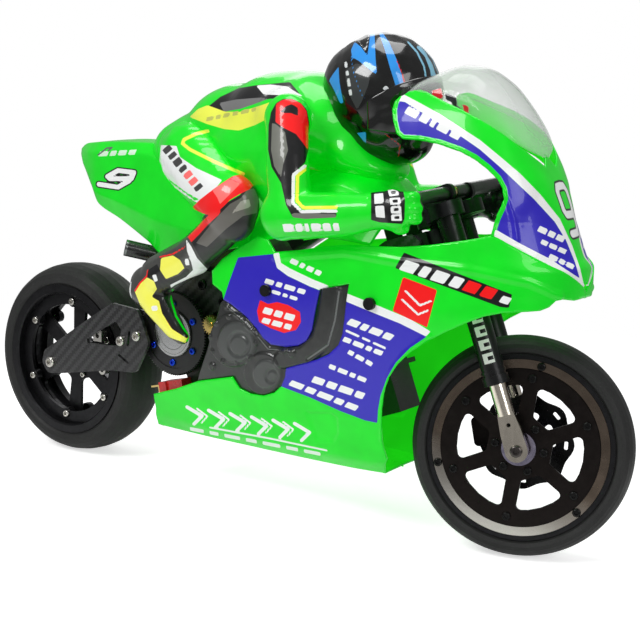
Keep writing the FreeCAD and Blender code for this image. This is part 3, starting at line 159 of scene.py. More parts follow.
def triangulate(outline, step, holes):
    """Vertices and triangles that fill an outline round its holes."""
    rings = [densify(ring, step) for ring in (outline, *holes)]
    verts, edges = [], []
    for ring in rings:
        first = len(verts)
        verts += [tuple(p) for p in ring]
        edges += [(first + i, first + (i + 1) % len(ring)) for i in range(len(ring))]
    low, high = rings[0].min(0), rings[0].max(0)
    columns = np.arange(low[0], high[0], step)
    levels = np.arange(low[1], high[1], step * 0.866)
    grid = np.array([(x + (j % 2) * step / 2, y) for j, y in enumerate(levels) for x in columns])
    margin = step * 0.55
    keep = area_depth(grid, rings[0]) > margin
    for ring in rings[1:]:
        keep &= area_depth(grid, ring) < -margin
    verts += [tuple(p) for p in grid[keep]]
    filled = delaunay_2d_cdt([Vector(p) for p in verts], edges, [], 0, 1e-5)
    verts = np.array([tuple(p) for p in filled[0]])
    faces = np.array([tuple(t) for t in filled[2] if len(t) == 3])
    centres = verts[faces].mean(1)
    keep = area_depth(centres, rings[0]) > 0
    for ring in rings[1:]:
        keep &= area_depth(centres, ring) < 0
    return verts, faces[keep]


def smooth_table(keys, values, x):
    """Overshoot-free cubic through a table of values or of rows."""
    keys, values = np.array(keys, float), np.array(values, float)
    x = np.clip(np.array(x, float), keys[0], keys[-1])
    single = values.ndim == 1
    if single:
        values = values[:, None]
    gap = np.diff(keys)[:, None]
    slope = np.diff(values, axis=0) / gap
    tangent = np.zeros_like(values)
    product = slope[:-1] * slope[1:]
    total = slope[:-1] + slope[1:]
    tangent[1:-1] = np.where(
        product > 0, 2 * product / np.where(np.abs(total) < 1e-12, 1, total), 0)
    tangent[0], tangent[-1] = slope[0], slope[-1]
    i = np.clip(np.searchsorted(keys, x.ravel()) - 1, 0, len(keys) - 2)
    width = gap[i]
    t = ((x.ravel() - keys[i]) / gap[i, 0])[:, None]
    out = ((2 * t ** 3 - 3 * t ** 2 + 1) * values[i]
           + (t ** 3 - 2 * t ** 2 + t) * width * tangent[i]
           + (-2 * t ** 3 + 3 * t ** 2) * values[i + 1]
           + (t ** 3 - t ** 2) * width * tangent[i + 1])
    return out[:, 0].reshape(x.shape) if single else out


# ---------------------------------------------------------------- meshes
def to_model(places):
    return (np.array(places, float) + [SHIFT_X, 0, 0]) * 0.001


def new_object(name, mesh):
    ob = bpy.data.objects.new(name, mesh)
    bpy.context.scene.collection.objects.link(ob)
    return ob


def shade_smooth(ob):
    ob.data.polygons.foreach_set("use_smooth", [True] * len(ob.data.polygons))


def mesh_object(name, verts, faces):
    mesh = bpy.data.meshes.new(name)
    mesh.from_pydata([tuple(p) for p in to_model(verts)], [],
                     [tuple(int(i) for i in face) for face in faces])
    mesh.validate()
    mesh.update()
    ob = new_object(name, mesh)
    shade_smooth(ob)
    return ob


def coords(ob):
    """Vertices in the drawing frame."""
    flat = np.zeros(len(ob.data.vertices) * 3)
    ob.data.vertices.foreach_get("co", flat)
    return flat.reshape(-1, 3) * 1000 - [SHIFT_X, 0, 0]


@contextmanager
def edited(mesh):
    bm = bmesh.new()
    bm.from_mesh(mesh)
    yield bm
    bm.to_mesh(mesh)
    bm.free()


def fix_normals(ob):
    with edited(ob.data) as bm:
        bmesh.ops.recalc_face_normals(bm, faces=bm.faces)


def weld(ob):
    with edited(ob.data) as bm:
        bmesh.ops.remove_doubles(bm, verts=bm.verts, dist=0.00005)


def grid_faces(rows, columns):
    """Quads over a grid of rows x columns vertices."""
    corners = (i * columns + k for i in range(rows - 1) for k in range(columns - 1))
    return [(a, a + columns, a + columns + 1, a + 1) for a in corners]


def add_wall(ob, thickness):
    wall = ob.modifiers.new("wall", "SOLIDIFY")
    wall.thickness = thickness * 0.001
    wall.offset = -1.0
    wall.use_rim = True
    wall.use_even_offset = False
    return wall


def mirrored(ob, name):
    mesh = ob.data.copy()
    mesh.name = name
    mesh.transform(Matrix.Diagonal((1, -1, 1, 1)))
    mesh.flip_normals()
    return new_object(name, mesh)


def join(name, parts):
    """Merge objects that share one material."""
    bm = bmesh.new()
    for part in parts:
        bm.from_mesh(part.data)
    mesh = bpy.data.meshes.new(name)
    bm.to_mesh(mesh)
    bm.free()
    mesh.materials.append(parts[0].data.materials[0])
    ob = new_object(name, mesh)
    for part in parts:
        bpy.data.objects.remove(part)
    return ob


Ball = namedtuple("Ball", "centre radii tilt", defaults=(0,))    # tilt about Y in degrees
Bar = namedtuple("Bar", "start end start_radius end_radius squash")    # squash scales y


def both_sides(parts):
    """Each part followed by its left-hand twin."""
    def flip(place):
        return (place[0], -place[1], place[2])
    out = []
    for part in parts:
        ends = {key: flip(getattr(part, key)) for key in ("centre", "start", "end")
                if hasattr(part, key)}
        out += [part, part._replace(**ends)]
    return out


def add_ball(bm, centre, radii, subdivisions, tilt=0):
    made = bmesh.ops.create_icosphere(bm, subdivisions=subdivisions, radius=1.0)
    turn = Matrix.Rotation(math.radians(tilt), 4, "Y")
    place = Matrix.Translation(Vector(centre)) @ turn @ Matrix.Diagonal((*radii, 1))
    bmesh.ops.transform(bm, matrix=place, verts=made["verts"])


def blob(name, parts, voxel, smoothing):
    """One smooth body from overlapping balls and tapered bars."""
    bm = bmesh.new()
    for part in parts:
        if isinstance(part, Ball):
            add_ball(bm, part.centre, part.radii, 3, part.tilt)
            continue
        start, end = np.array(part.start, float), np.array(part.end, float)
        spacing = min(part.start_radius, part.end_radius) * 0.28
        count = max(2, int(np.linalg.norm(end - start) / spacing))
        for i in range(count + 1):
            t = i / count
            r = part.start_radius + (part.end_radius - part.start_radius) * t
            add_ball(bm, start + (end - start) * t, (r, r * part.squash, r), 2)
    rough = bpy.data.meshes.new(name)
    bm.to_mesh(rough)
    bm.free()
    ob = new_object(name, rough)
    remesh = ob.modifiers.new("r", "REMESH")
    remesh.mode = "VOXEL"
    remesh.voxel_size = voxel
    remesh.use_smooth_shade = True
    smooth = ob.modifiers.new("s", "SMOOTH")
    smooth.factor = 0.5
    smooth.iterations = smoothing
    graph = bpy.context.evaluated_depsgraph_get()
    mesh = bpy.data.meshes.new_from_object(ob.evaluated_get(graph))
    ob.modifiers.clear()
    ob.data = mesh
    mesh.name = ob.name
    bpy.data.meshes.remove(rough)
    mesh.transform(Matrix.Scale(0.001, 4) @ Matrix.Translation((SHIFT_X, 0, 0)))
    shade_smooth(ob)
    return ob


def store(ob, name, values):
    attribute = ob.data.attributes.new(name, "FLOAT", "POINT")
    attribute.data.foreach_set("value", np.array(values, np.float32))


def art_field(at, areas=(), lines=()):
    """Attribute values at sheet points, positive inside any area or (line, half width)."""
    field = np.full(len(at), OUTSIDE)
    for outline in areas:
        field = np.maximum(field, area_depth(at, outline) / ART_UNIT)
    for line, half_width in lines:
        field = np.maximum(field, line_depth(at, line, half_width) / ART_UNIT)
    return field


def artwork(ob, at, **layers):
    """Store one attribute per layer; each layer is (areas,) or (areas, lines)."""
    for name, shapes in layers.items():
        store(ob, name, art_field(at, *shapes))


def fit(ob, replaces=None, rides="chassis"):
    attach(ob, rides)
    if replaces:
        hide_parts(replaces)


# ---------------------------------------------------------------- shader building
class Shader:
    """A new material and short calls for its nodes; a value may be a number or an output."""

    def __init__(self, name):
        self.material = bpy.data.materials.new(name)
        self.material.use_nodes = True
        self.tree = self.material.node_tree
        self.bsdf = self.tree.nodes["Principled BSDF"]

    def add(self, kind, **settings):
        node = self.tree.nodes.new(kind)
        for key, value in settings.items():
            setattr(node, key, value)
        return node

    def put(self, socket, value):
        if isinstance(value, bpy.types.NodeSocket):
            self.tree.links.new(value, socket)
        else:
            socket.default_value = (*value, 1) if isinstance(value, tuple) else value

    def set(self, **values):
        """Principled inputs, with underscores for the spaces in their names."""
        for key, value in values.items():
            self.put(self.bsdf.inputs[key.replace("_", " ")], value)

    def noise(self, scale, detail=3.0, roughness=0.5, stretch=None):
        source = self.add("ShaderNodeTexCoord").outputs["Object"]
        if stretch:
            mapping = self.add("ShaderNodeMapping")
            mapping.inputs["Scale"].default_value = stretch
            self.put(mapping.inputs["Vector"], source)
            source = mapping.outputs["Vector"]
        node = self.add("ShaderNodeTexNoise")
        node.inputs["Scale"].default_value = scale
        node.inputs["Detail"].default_value = detail
        node.inputs["Roughness"].default_value = roughness
        self.put(node.inputs["Vector"], source)
        return node.outputs["Fac"]

    def remap(self, value, *limits):
        """Limits are from-low, from-high, to-low, to-high."""
        node = self.add("ShaderNodeMapRange")
        for key, limit in zip(("From Min", "From Max", "To Min", "To Max"), limits):
            node.inputs[key].default_value = limit
        self.put(node.inputs["Value"], value)
        return node.outputs["Result"]

    def vary(self, noise, low=0.0, high=1.0):
        """Spread the usual swing of a noise over low to high."""
        return self.remap(noise, 0.3, 0.7, low, high)

    def mix(self, factor, a, b, kind="RGBA"):
        first, second, result = (6, 7, 2) if kind == "RGBA" else (2, 3, 0)
        node = self.add("ShaderNodeMix", data_type=kind)
        self.put(node.inputs[0], factor)
        self.put(node.inputs[first], a)
        self.put(node.inputs[second], b)
        return node.outputs[result]

    def calc(self, operation, a, b=0.0):
        """Math node; None leaves the second input as Blender makes it."""
        node = self.add("ShaderNodeMath", operation=operation)
        for socket, value in zip(node.inputs, (a, b)):
            if value is not None:
                self.put(socket, value)
        return node.outputs[0]

    def separate(self):
        node = self.add("ShaderNodeSeparateXYZ")
        self.put(node.inputs[0], self.add("ShaderNodeTexCoord").outputs["Object"])
        return node.outputs

    def drawing_axes(self, axes):
        """Position along the named axes in drawing-frame mm."""
        place, out = self.separate(), []
        for axis in axes:
            value = self.calc("MULTIPLY", place[axis], 1000.0)
            out.append(self.calc("SUBTRACT", value, SHIFT_X) if axis == "X" else value)
        return out

    def attribute(self, name):
        node = self.add("ShaderNodeAttribute", attribute_type="GEOMETRY", attribute_name=name)
        return node.outputs["Fac"]

    def bump(self, height, strength, distance):
        node = self.add("ShaderNodeBump")
        node.inputs["Strength"].default_value = strength
        node.inputs["Distance"].default_value = distance
        self.put(node.inputs["Height"], height)
        self.set(Normal=node.outputs["Normal"])

    def recolour(self, mask, colour, roughness=None, metallic=None):
        """Second finish where the mask is 1."""
        for key, value in (("Base Color", colour), ("Roughness", roughness),
                           ("Metallic", metallic)):
            if value is None:
                continue
            socket = self.bsdf.inputs[key]
            old = socket.links[0].from_socket if socket.links else socket.default_value
            kind = "RGBA" if key == "Base Color" else "FLOAT"
            self.put(socket, self.mix(mask, old, value, kind))


def srgb(code):
    parts = [int(code[i:i + 2], 16) / 255 for i in (0, 2, 4)]
    return tuple(((x + 0.055) / 1.055) ** 2.4 if x > 0.04045 else x / 12.92 for x in parts)


GREEN = srgb("00dc1c")
BLUE = srgb("2a1fb0")
WHITE = srgb("e9ebea")
RED = srgb("f00f12")
BLACK = srgb("0c0c0e")
YELLOW = srgb("e4ea4e")
BOOT_GREY = srgb("3c3c3a")
BOOT_YELLOW = srgb("f0ee5a")


def paint(name, base, layers, roughness=0.34, coat=0.45, glow=0.22):
    """Glossy paint that glows faintly in its own colour as painted light; layers maps attribute
    names to colours, the last one on top.
    """
    shader = Shader(name)
    tint = shader.add("ShaderNodeHueSaturation")
    shader.put(tint.inputs["Color"], base)
    shader.put(tint.inputs["Value"], shader.vary(shader.noise(60, 2), 0.93, 1.06))
    colour = tint.outputs["Color"]
    for layer, layer_colour in layers.items():
        edge = shader.remap(shader.attribute(layer), -0.22, 0.22, 0.0, 1.0)
        colour = shader.mix(edge, colour, layer_colour)
    shader.set(Base_Color=colour, Coat_Weight=coat, Coat_Roughness=0.04, Coat_IOR=1.5,
               Specular_IOR_Level=0.3,
               Roughness=shader.vary(shader.noise(220, 3), roughness - 0.05, roughness + 0.06))
    # painted light: the paint glows in its own colour by the glow strength, to brighten it
    if glow:
        shader.set(Emission_Color=colour, Emission_Strength=glow)
    shader.bump(shader.noise(90, 2), strength=0.05, distance=0.0006)
    return shader


def metal(name, colour, roughness, anisotropy=0.0, scale=400, stretch=(1, 1, 1),
          variation=0.12, metallic=1.0):
    shader = Shader(name)
    grain = shader.noise(scale, 4, 0.6, stretch)
    dark = tuple(x * (1 - variation) for x in colour)
    light = tuple(min(1, x * (1 + variation)) for x in colour)
    shader.set(Base_Color=shader.mix(shader.vary(grain), dark, light),
               Roughness=shader.vary(shader.noise(scale * 0.6, 3),
                                     max(0.02, roughness - 0.07), roughness + 0.09),
               Metallic=metallic, Anisotropic=anisotropy)
    shader.bump(grain, strength=0.06, distance=0.0002)
    return shader


def plastic(name, colour, roughness, coat=0.0, scale=500, relief=0.12):
    shader = Shader(name)
    grain = shader.noise(scale, 4, 0.6)
    dark = tuple(x * 0.85 for x in colour)
    light = tuple(min(1, x * 1.12) for x in colour)
    shader.set(Base_Color=shader.mix(shader.vary(grain), dark, light),
               Roughness=shader.vary(shader.noise(scale * 0.4, 3),
                                     max(0.03, roughness - 0.07), roughness + 0.1),
               Coat_Weight=coat)
    shader.bump(grain, strength=relief, distance=0.0002)
    return shader


def carbon():
    """Twill weave across x and z under a satin resin."""
    tow_width = 0.0016      # metres
    shader = Shader("twill_carbon")
    calc = shader.calc
    place = shader.separate()
    across = calc("MULTIPLY", place["X"], 1 / tow_width)
    upward = calc("MULTIPLY", place["Z"], 1 / tow_width)
    step = calc("SUBTRACT", calc("FLOOR", across, None), calc("FLOOR", upward, None))
    over = calc("LESS_THAN", calc("FLOORED_MODULO", step, 4.0), 1.5)
    crowns = [calc("SINE", calc("MULTIPLY", calc("FRACT", value, None), math.pi), None)
              for value in (across, upward)]
    height = shader.mix(over, *crowns, kind="FLOAT")
    shader.set(Base_Color=shader.mix(over, (0.012, 0.012, 0.013), (0.034, 0.034, 0.036)),
               Roughness=shader.remap(over, 0, 1, 0.34, 0.52),
               Coat_Weight=0.25, Coat_Roughness=0.3)
    shader.bump(height, strength=0.25, distance=0.0002)
    return shader


def rubber():
    shader = Shader("slick_tyre")
    grain = shader.noise(900, 5, 0.65)
    shader.set(Base_Color=shader.mix(shader.vary(grain), (0.006, 0.006, 0.006),
                                     (0.013, 0.0133, 0.0128)),
               Roughness=shader.vary(shader.noise(60, 3), 0.52, 0.72), Sheen_Weight=0.03)
    shader.bump(grain, strength=0.18, distance=0.0003)
    return shader


def gear_nylon():
    """Spur gear with a bright disc, cut by two dark rings, on its right face."""
    axle_x, axle_z, face_y, disc_radius = -55.5, 84.0, -19.45, 12.62
    shader = plastic("gear_and_cap", (0.014, 0.014, 0.015), roughness=0.38)
    op = shader.calc
    x, y, z = shader.drawing_axes("XYZ")
    dx, dz = op("ADD", x, -axle_x), op("SUBTRACT", z, axle_z)
    radius = op("SQRT", op("ADD", op("MULTIPLY", dx, dx), op("MULTIPLY", dz, dz)))
    disc = op("MULTIPLY", op("LESS_THAN", y, face_y), op("LESS_THAN", radius, disc_radius))
    rings = op("ADD", *[op("MULTIPLY", op("GREATER_THAN", radius, inner),
                           op("LESS_THAN", radius, outer))
                        for inner, outer in ((8.6, 9.0), (11.2, 11.5))])
    mask = op("MULTIPLY", disc, op("SUBTRACT", 1.0, op("MULTIPLY", rings, 0.75)))
    shader.recolour(mask, (0.60, 0.61, 0.61), roughness=0.22, metallic=1.0)
    return shader


def ring_bronze():
    """Front wheel ring, dark at the top, with a painted highlight that brightens it towards its
    foot and rear.
    """
    shader = metal("bronze_ring", (0.205, 0.16, 0.125), roughness=0.24, anisotropy=0.7, scale=200)
    op = shader.calc
    x, z = shader.drawing_axes("XZ")
    highlight_reach = op("ADD", op("MULTIPLY", op("SUBTRACT", z, 52.6), -0.034),
                 op("MULTIPLY", op("SUBTRACT", x, 145.0), -0.012))
    mask = op("MINIMUM", op("MAXIMUM", op("ADD", highlight_reach, -0.25), 0.0), 1.0)
    # painted highlight: pale tan towards the foot and rear of the ring
    shader.recolour(mask, (0.62, 0.60, 0.55), roughness=0.2)
    return shader


def crash_bar_black():
    """Front crash bar, with a brass collar just right of the middle."""
    shader = plastic("crash_bar_black", (0.016, 0.016, 0.017), roughness=0.34, coat=0.2)
    y, = shader.drawing_axes("Y")
    mask = shader.calc("MULTIPLY", shader.calc("GREATER_THAN", y, -7.55),
                       shader.calc("LESS_THAN", y, -3.65))
    shader.recolour(mask, (0.62, 0.50, 0.24), roughness=0.22, metallic=1.0)
    return shader


def crash_tube_black():
    """Rear crash tubes, metal beyond a set distance along each tube."""
    shader = plastic("crash_tube_black", (0.016, 0.016, 0.017), roughness=0.26, coat=0.4)
    op = shader.calc
    x, y, z = shader.drawing_axes("XYZ")
    along = op("ADD", op("ADD", op("MULTIPLY", op("ADD", x, 60.0), -0.687),
                         op("MULTIPLY", op("SUBTRACT", op("ABSOLUTE", y), 12.9), 0.691)),
               op("MULTIPLY", op("SUBTRACT", z, 124.0), 0.224))
    mask = op("GREATER_THAN", along, 26.6)
    shader.recolour(mask, (0.22, 0.23, 0.23), roughness=0.24, metallic=0.9)
    return shader


def fork_tube_black():
    """Fork tubes, with a row of pale slotted blocks up the outer side of the right one."""
    axle_x, axle_z = 134.0, 52.6
    up_tube = (-0.3665, 0, 0.93042)
    sideways = (-0.31211, 0.94206, -0.12294)
    around = (0.87651, 0.33543, 0.34526)
    shader = metal("black_tube", (0.016, 0.016, 0.017), roughness=0.30, metallic=0.6,
                   variation=0.2)
    op = shader.calc
    place = shader.drawing_axes("XYZ")

    def along(axis, start):
        x, y, z = (op("MULTIPLY", value, part) for value, part in zip(place, axis))
        offset = axis[0] * axle_x + axis[2] * axle_z + start
        return op("SUBTRACT", op("ADD", op("ADD", x, y), z), offset)

    def within(value, middle, half_width):
        return op("LESS_THAN", op("ABSOLUTE", op("SUBTRACT", value, middle)), half_width)

    def between(value, low, high):
        return op("MULTIPLY", op("GREATER_THAN", value, low), op("LESS_THAN", value, high))

    height = along(up_tube, 0.0)
    outward = along(sideways, -20.5)
    across = along(around, 11.0 * up_tube[2])
    phase = op("FRACT", op("DIVIDE", op("SUBTRACT", height, 38.0), 6.4))
    row = op("MULTIPLY", op("LESS_THAN", phase, 0.74), within(across, 0.3, 2.5))
    notch = op("MULTIPLY", between(phase, 0.22, 0.5), within(across, 1.3, 1.3))
    row = op("MULTIPLY", row, between(height, 38.0, 75.9))
    row = op("MULTIPLY", row, op("LESS_THAN", outward, 0.0))
    mask = op("MULTIPLY", row, op("SUBTRACT", 1.0, notch))
    shader.recolour(mask, (0.78, 0.78, 0.76), roughness=0.4, metallic=0.0)
    return shader


def power_plug():
    """Red plug with gilt pins at its rear end."""
    shader = plastic("red_plug_gilt_pins", (0.62, 0.01, 0.012), roughness=0.3, coat=0.5)
    x, = shader.drawing_axes("X")
    mask = shader.calc("LESS_THAN", x, PIN_X)
    shader.recolour(mask, (0.75, 0.55, 0.2), roughness=0.2, metallic=1.0)
    return shader


def smoked_cover():
    shader = Shader("smoked_cover")
    grain = shader.noise(300, 4)
    colour = shader.mix(shader.vary(grain), srgb("1d1f1e"), srgb("292b2a"))
    discs = shader.remap(shader.attribute("lit"), -1, 1, 0, 0.8)
    colour = shader.mix(discs, colour, srgb("474a49"))
    seams = shader.remap(shader.attribute("edge"), -0.2, 0.2, 0, 1)
    colour = shader.mix(seams, colour, srgb("6f7271"))
    shader.set(Base_Color=colour, Coat_Weight=0.4,
               Roughness=shader.vary(shader.noise(120, 3), 0.28, 0.42))
    shader.bump(grain, strength=0.08, distance=0.0002)
    return shader


def smoked_clear():
    """Clear screen, denser at grazing angles, with three opaque colours of mark."""
    shader = Shader("smoked_clear")
    shader.set(Alpha=0.3)
    weight = shader.add("ShaderNodeLayerWeight")
    weight.inputs["Blend"].default_value = 0.28
    alpha = shader.remap(weight.outputs["Facing"], 0.0, 1.0, 0.14, 0.62)
    cloud = shader.noise(40, 2)
    colour = shader.mix(shader.vary(cloud), srgb("dfe2e1"), srgb("eef0ef"))
    shader.set(Roughness=shader.vary(shader.noise(150, 2), 0.04, 0.09))
    shader.bump(cloud, strength=0.02, distance=0.0005)
    for layer, mark in (("m_red", "e0282c"), ("m_dark", "26282c"), ("m_blue", "3a8be0")):
        edge = shader.remap(shader.attribute(layer), -0.3, 0.3, 0.0, 1.0)
        colour = shader.mix(edge, colour, srgb(mark))
        alpha = shader.mix(edge, alpha, 0.9, "FLOAT")
    shader.set(Base_Color=colour, Alpha=alpha)
    return shader


# ---------------------------------------------------------------- finishes of the CAD pieces
SPRING = metal("spring_wire", (0.6, 0.6, 0.62), roughness=0.18)
FINISHES = (
    (carbon(), "frame_plates seat_subframe swingarm_plates"),
    (metal("black_anodised", (0.018, 0.018, 0.02), roughness=0.36, metallic=0.75, variation=0.2),
     "frame_standoffs steering_head bar_bracket thumb_screws swingarm_inner_arms rear_rim "
     "rear_spoke_plates rear_hub fork_clamp_top fork_clamp_bottom front_rim"),
    (metal("black_oxide", (0.02, 0.02, 0.02), roughness=0.28, metallic=0.9),
     "frame_screws front_wheel_bolts brake_disc"),
    (metal("machined_alloy", (0.72, 0.72, 0.73), roughness=0.24),
     "rear_sprocket shock_body shock_rod"),
    (metal("bright_plate", (0.62, 0.60, 0.56), roughness=0.2),
     "swingarm_screws rear_axle rear_wheel_screws"),
    (metal("titanium_slider", (0.82, 0.75, 0.64), roughness=0.16, anisotropy=0.5, scale=300,
           stretch=(1, 1, 0.05)), "fork_sliders"),
    (metal("blue_anodised", (0.02, 0.07, 0.65), roughness=0.25), "gear_screws"),
    (metal("turned_brass", (0.88, 0.66, 0.24), roughness=0.22), "pinion"),
    (metal("ground_steel", (0.36, 0.36, 0.37), roughness=0.26),
     "frame_bearings drive_chain drive_shaft steering_link"),
    (metal("brown_anodised", (0.014, 0.0105, 0.0095), roughness=0.34, metallic=0.8,
           variation=0.15), "brake_caliper front_spoke_plates"),
    (ring_bronze(), "front_weight_rings"),
    (metal("dark_axle", (0.10, 0.09, 0.085), roughness=0.28), "front_axle"),
    (metal("tinted_hub", (0.50, 0.46, 0.62), roughness=0.14), "front_hub"),
    (gear_nylon(), "spur_gear"),
    (plastic("moulded_black", (0.016, 0.016, 0.017), roughness=0.34, coat=0.2),
     "electronics steering_servo servo_arm"),
    (rubber(), "rear_tyre front_tyre"),
    (power_plug(), "power_connector"),
    (plastic("battery_wrap", (0.02, 0.03, 0.06), roughness=0.2, coat=0.6), "battery_pack"),
    (metal("motor_case", (0.05, 0.05, 0.055), roughness=0.3, stretch=(1, 0.03, 1)), "motor_can"),
    (SPRING, "shock_spring"),
    (crash_bar_black(), "crash_bar_front"),
    (crash_tube_black(), "crash_tubes_rear"),
    (fork_tube_black(), "fork_tubes"),
)
for shader, pieces in FINISHES:
    for piece in pieces.split():
        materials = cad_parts[piece].data.materials
        materials.clear()
        materials.append(shader.material)


def dress(ob, shader):
    ob.data.materials.append(shader.material)


# ---------------------------------------------------------------- body surface
SHELL_WALL = 0.9
BELLY_Z = 31.2       # underside of the fairing
NOSE_X = 100         # the sides start to turn in towards the tip here
TURN = 95            # length of the u coordinate round the nose
LEVELS = [31, 40, 55, 75, 100, 122, 145, 156, 165, 175, 185, 197, 206, 214.5, 222]
# x, then the half width at the first eight levels
HALF_WIDTHS = [(-66, [20, 25, 28, 30, 31, 31, 30, 30]),
               (-20, [22, 30, 34, 38, 40, 40, 38.5, 38]),
               (20, [22, 31, 36.5, 40.5, 43, 43.5, 42, 41]),
               (60, [21, 30.5, 36, 40.5, 43.5, 44.5, 43, 42]),
               (90, [17, 27, 34, 39, 42.5, 44, 43, 42]),
               (NOSE_X, [15.5, 26, 33, 38.2, 42, 43.5, 42.7, 41.6])]
# half width at the other levels in the foremost section; other sections scale it
UPPER_WIDTHS = [39.5, 37, 34.5, 32, 29.5, 25, 19]
SECTIONS = [row + [w * (row[-1] / HALF_WIDTHS[-1][1][-1]) for w in UPPER_WIDTHS]
            for x, row in HALF_WIDTHS]
GRID_X, GRID_Z = np.arange(-66, 101, 1.0), np.arange(31, 223, 1.0)
WIDTH_GRID = smooth_table(
    LEVELS, smooth_table([x for x, row in HALF_WIDTHS], SECTIONS, GRID_X).T, GRID_Z).T
# height and forward reach of the nose tip
TIP_Z = [31, 120, 131, 139, 145, 160, 175, 187, 195, 203, 211, 217, 222]
TIP_X = [171, 172, 173, 173, 169.5, 163.5, 157, 151, 146.5, 141.5, 136.5, 132, 128]


def half_width(x, z):
    fx = np.clip(x - GRID_X[0], 0, len(GRID_X) - 1.001)
    fz = np.clip(z - GRID_Z[0], 0, len(GRID_Z) - 1.001)
    i, k = fx.astype(int), fz.astype(int)
    a, b = fx - i, fz - k
    return (WIDTH_GRID[i, k] * (1 - a) * (1 - b) + WIDTH_GRID[i + 1, k] * a * (1 - b)
            + WIDTH_GRID[i, k + 1] * (1 - a) * b + WIDTH_GRID[i + 1, k + 1] * a * b)


def body_surface(u, v):
    """Right half of the body: u runs forward and round the nose; v is height, and below
    BELLY_Z runs in across the belly."""
    z = np.maximum(v, BELLY_Z)
    width = half_width(np.minimum(u, NOSE_X), z)
    angle = np.clip((u - NOSE_X) / TURN, 0, 1) * math.pi / 2
    sine, cosine = np.sin(angle), np.cos(angle)
    power = 2.3 + 0.9 * np.clip((z - 160) / 24, 0, 1)
    r = (sine ** power + np.maximum(cosine, 1e-9) ** power) ** (-1 / power)
    reach = smooth_table(TIP_Z, TIP_X, z) - NOSE_X
    x = np.where(u > NOSE_X, NOSE_X + reach * r * sine, u)
    y = -np.where(u > NOSE_X, width * r * cosine, width)
    y = np.minimum(y + np.maximum(BELLY_Z - v, 0), 0)
    return np.stack([x, y, z], 1)


def body_and_normals(uv, step=0.05):
    u, v = uv[:, 0], uv[:, 1]
    places = body_surface(u, v)
    return places, np.cross(body_surface(u + step, v) - places,
                            body_surface(u, v + step) - places)


class Chart:
    """Finds the u, v of sheet points on the part of the body that faces the eye."""

    def __init__(self, u_span, v_span, count=240):
        u, v = np.meshgrid(np.linspace(*u_span, count), np.linspace(*v_span, count),
                           indexing="ij")
        uv = np.stack([u.ravel(), v.ravel()], 1)
        places, normals = body_and_normals(uv)
        facing = (normals * (EYE - places)).sum(1) > -1e-4
        self.uv = uv[facing]
        self.at = to_sheet(places[facing])

    def lift(self, targets):
        def project(u, v):
            return to_sheet(body_surface(u, v))[0]
        out, step = [], 0.05
        for target in targets:
            uv = self.uv[((self.at - target) ** 2).sum(1).argmin()].copy()
            for _ in range(5):
                here = project(uv[:1], uv[1:])
                along_u = (project(uv[:1] + step, uv[1:]) - here) / step
                along_v = (project(uv[:1], uv[1:] + step) - here) / step
                jacobian = np.stack([along_u, along_v], 1)
                if abs(np.linalg.det(jacobian)) < 0.0375:     # nearly edge on
                    break
                move = np.linalg.solve(jacobian, target - here)
                if np.abs(move).max() > 4:
                    break
                uv = uv + move
            out.append(uv)
        return out


def body_panel(name, outline, step, relief, holes=()):
    """Body panel inside a u, v outline; relief(sheet points, uv) pushes it outward."""
    uv, faces = triangulate(outline, step, holes)
    places, normals = body_and_normals(uv)
    normals /= np.maximum(np.linalg.norm(normals, axis=1), 1e-9)[:, None]
    places = places + normals * relief(to_sheet(places), uv)[:, None]
    ob = mesh_object(name, places, faces)
    corners = places[faces]
    turns = np.cross(corners[:, 1] - corners[:, 0], corners[:, 2] - corners[:, 0])
    if (turns * normals[faces[:, 0]]).sum() < 0:
        ob.data.flip_normals()
    return ob


# the inner faces glow more strongly than the outer paint: painted light that brightens them
SHELL_INNER = paint("shell_inner", srgb("24e81c"), {}, roughness=0.45, coat=0.3, glow=0.42)


def add_shell(ob):
    """Wall with a plain inner face."""
    dress(ob, SHELL_INNER)
    add_wall(ob, SHELL_WALL).material_offset = 1


# ---------------------------------------------------------------- side fairings
side_chart = Chart((-66, 194.9), (10, 160))
# from the upper rear corner forward to the nose, then back and down the front edge
SIDE_FRONT = points(
    106.25,142, 106,135.5, 111,129.5, 120,123, 128.5,118, 134,120, 137.5,126, 150,125,
    161,123.25, 172.5,122.25, 186,123, 200,123.5, 215,122.5, 230,120.5, 240,119, 246,117.75,
    248.5,118.75, 260,125.15, 275,132.9, 292,143.75, 296.5,146.25, 292.5,148.75, 287,150.4,
    281,149.75, 278,150.5, 274.5,153.75, 270,155.5, 260,156.15, 251.5,156.5, 242,158.25,
    232.5,161.75, 223,166, 214,170.5, 205.5,176, 199,182, 194.5,188.75, 191.8,196.5, 190.75,205,
    190.75,215, 191.5,223.5, 193.5,230)
NOSE_SEAM = SIDE_FRONT[16:20]      # edge shared with the nose cowl
# u, v round the belly
SIDE_BELLY = points(84,33.5, 82.5,31.2, 82,10.2, -60.5,10.2, -61.5,31.2)
SIDE_REAR = points(79.25,212, 78,204, 76.8,197, 87.5,194.5, 100,190.25, 103,178, 106.5,167,
                   109,157.5, 111.75,150, 111,146)
COVER_OUTLINE = points(
    98,190.75, 103,174.5, 106.5,162.5, 109.5,151.5, 111.75,149.75, 116,152.5, 123,158.25,
    128,164, 131.5,169, 135.5,172.25, 143,173.5, 149,172.75, 153,170.5, 155.75,165, 157.25,156,
    159.75,144.5, 167,143.4, 174.5,141.9, 173.25,150, 172.25,159, 171.25,167, 169.25,172.5,
    164.5,177, 158,180, 150,182, 143,184.25, 142.5,188.5, 140.75,193, 137,196.5, 131.5,198,
    125,197, 119.5,194.25, 116,188.5)
LOWER_RECESS = points(153,206.25, 165.5,206.75, 168.5,209, 168.75,217, 166.5,221, 158,220)
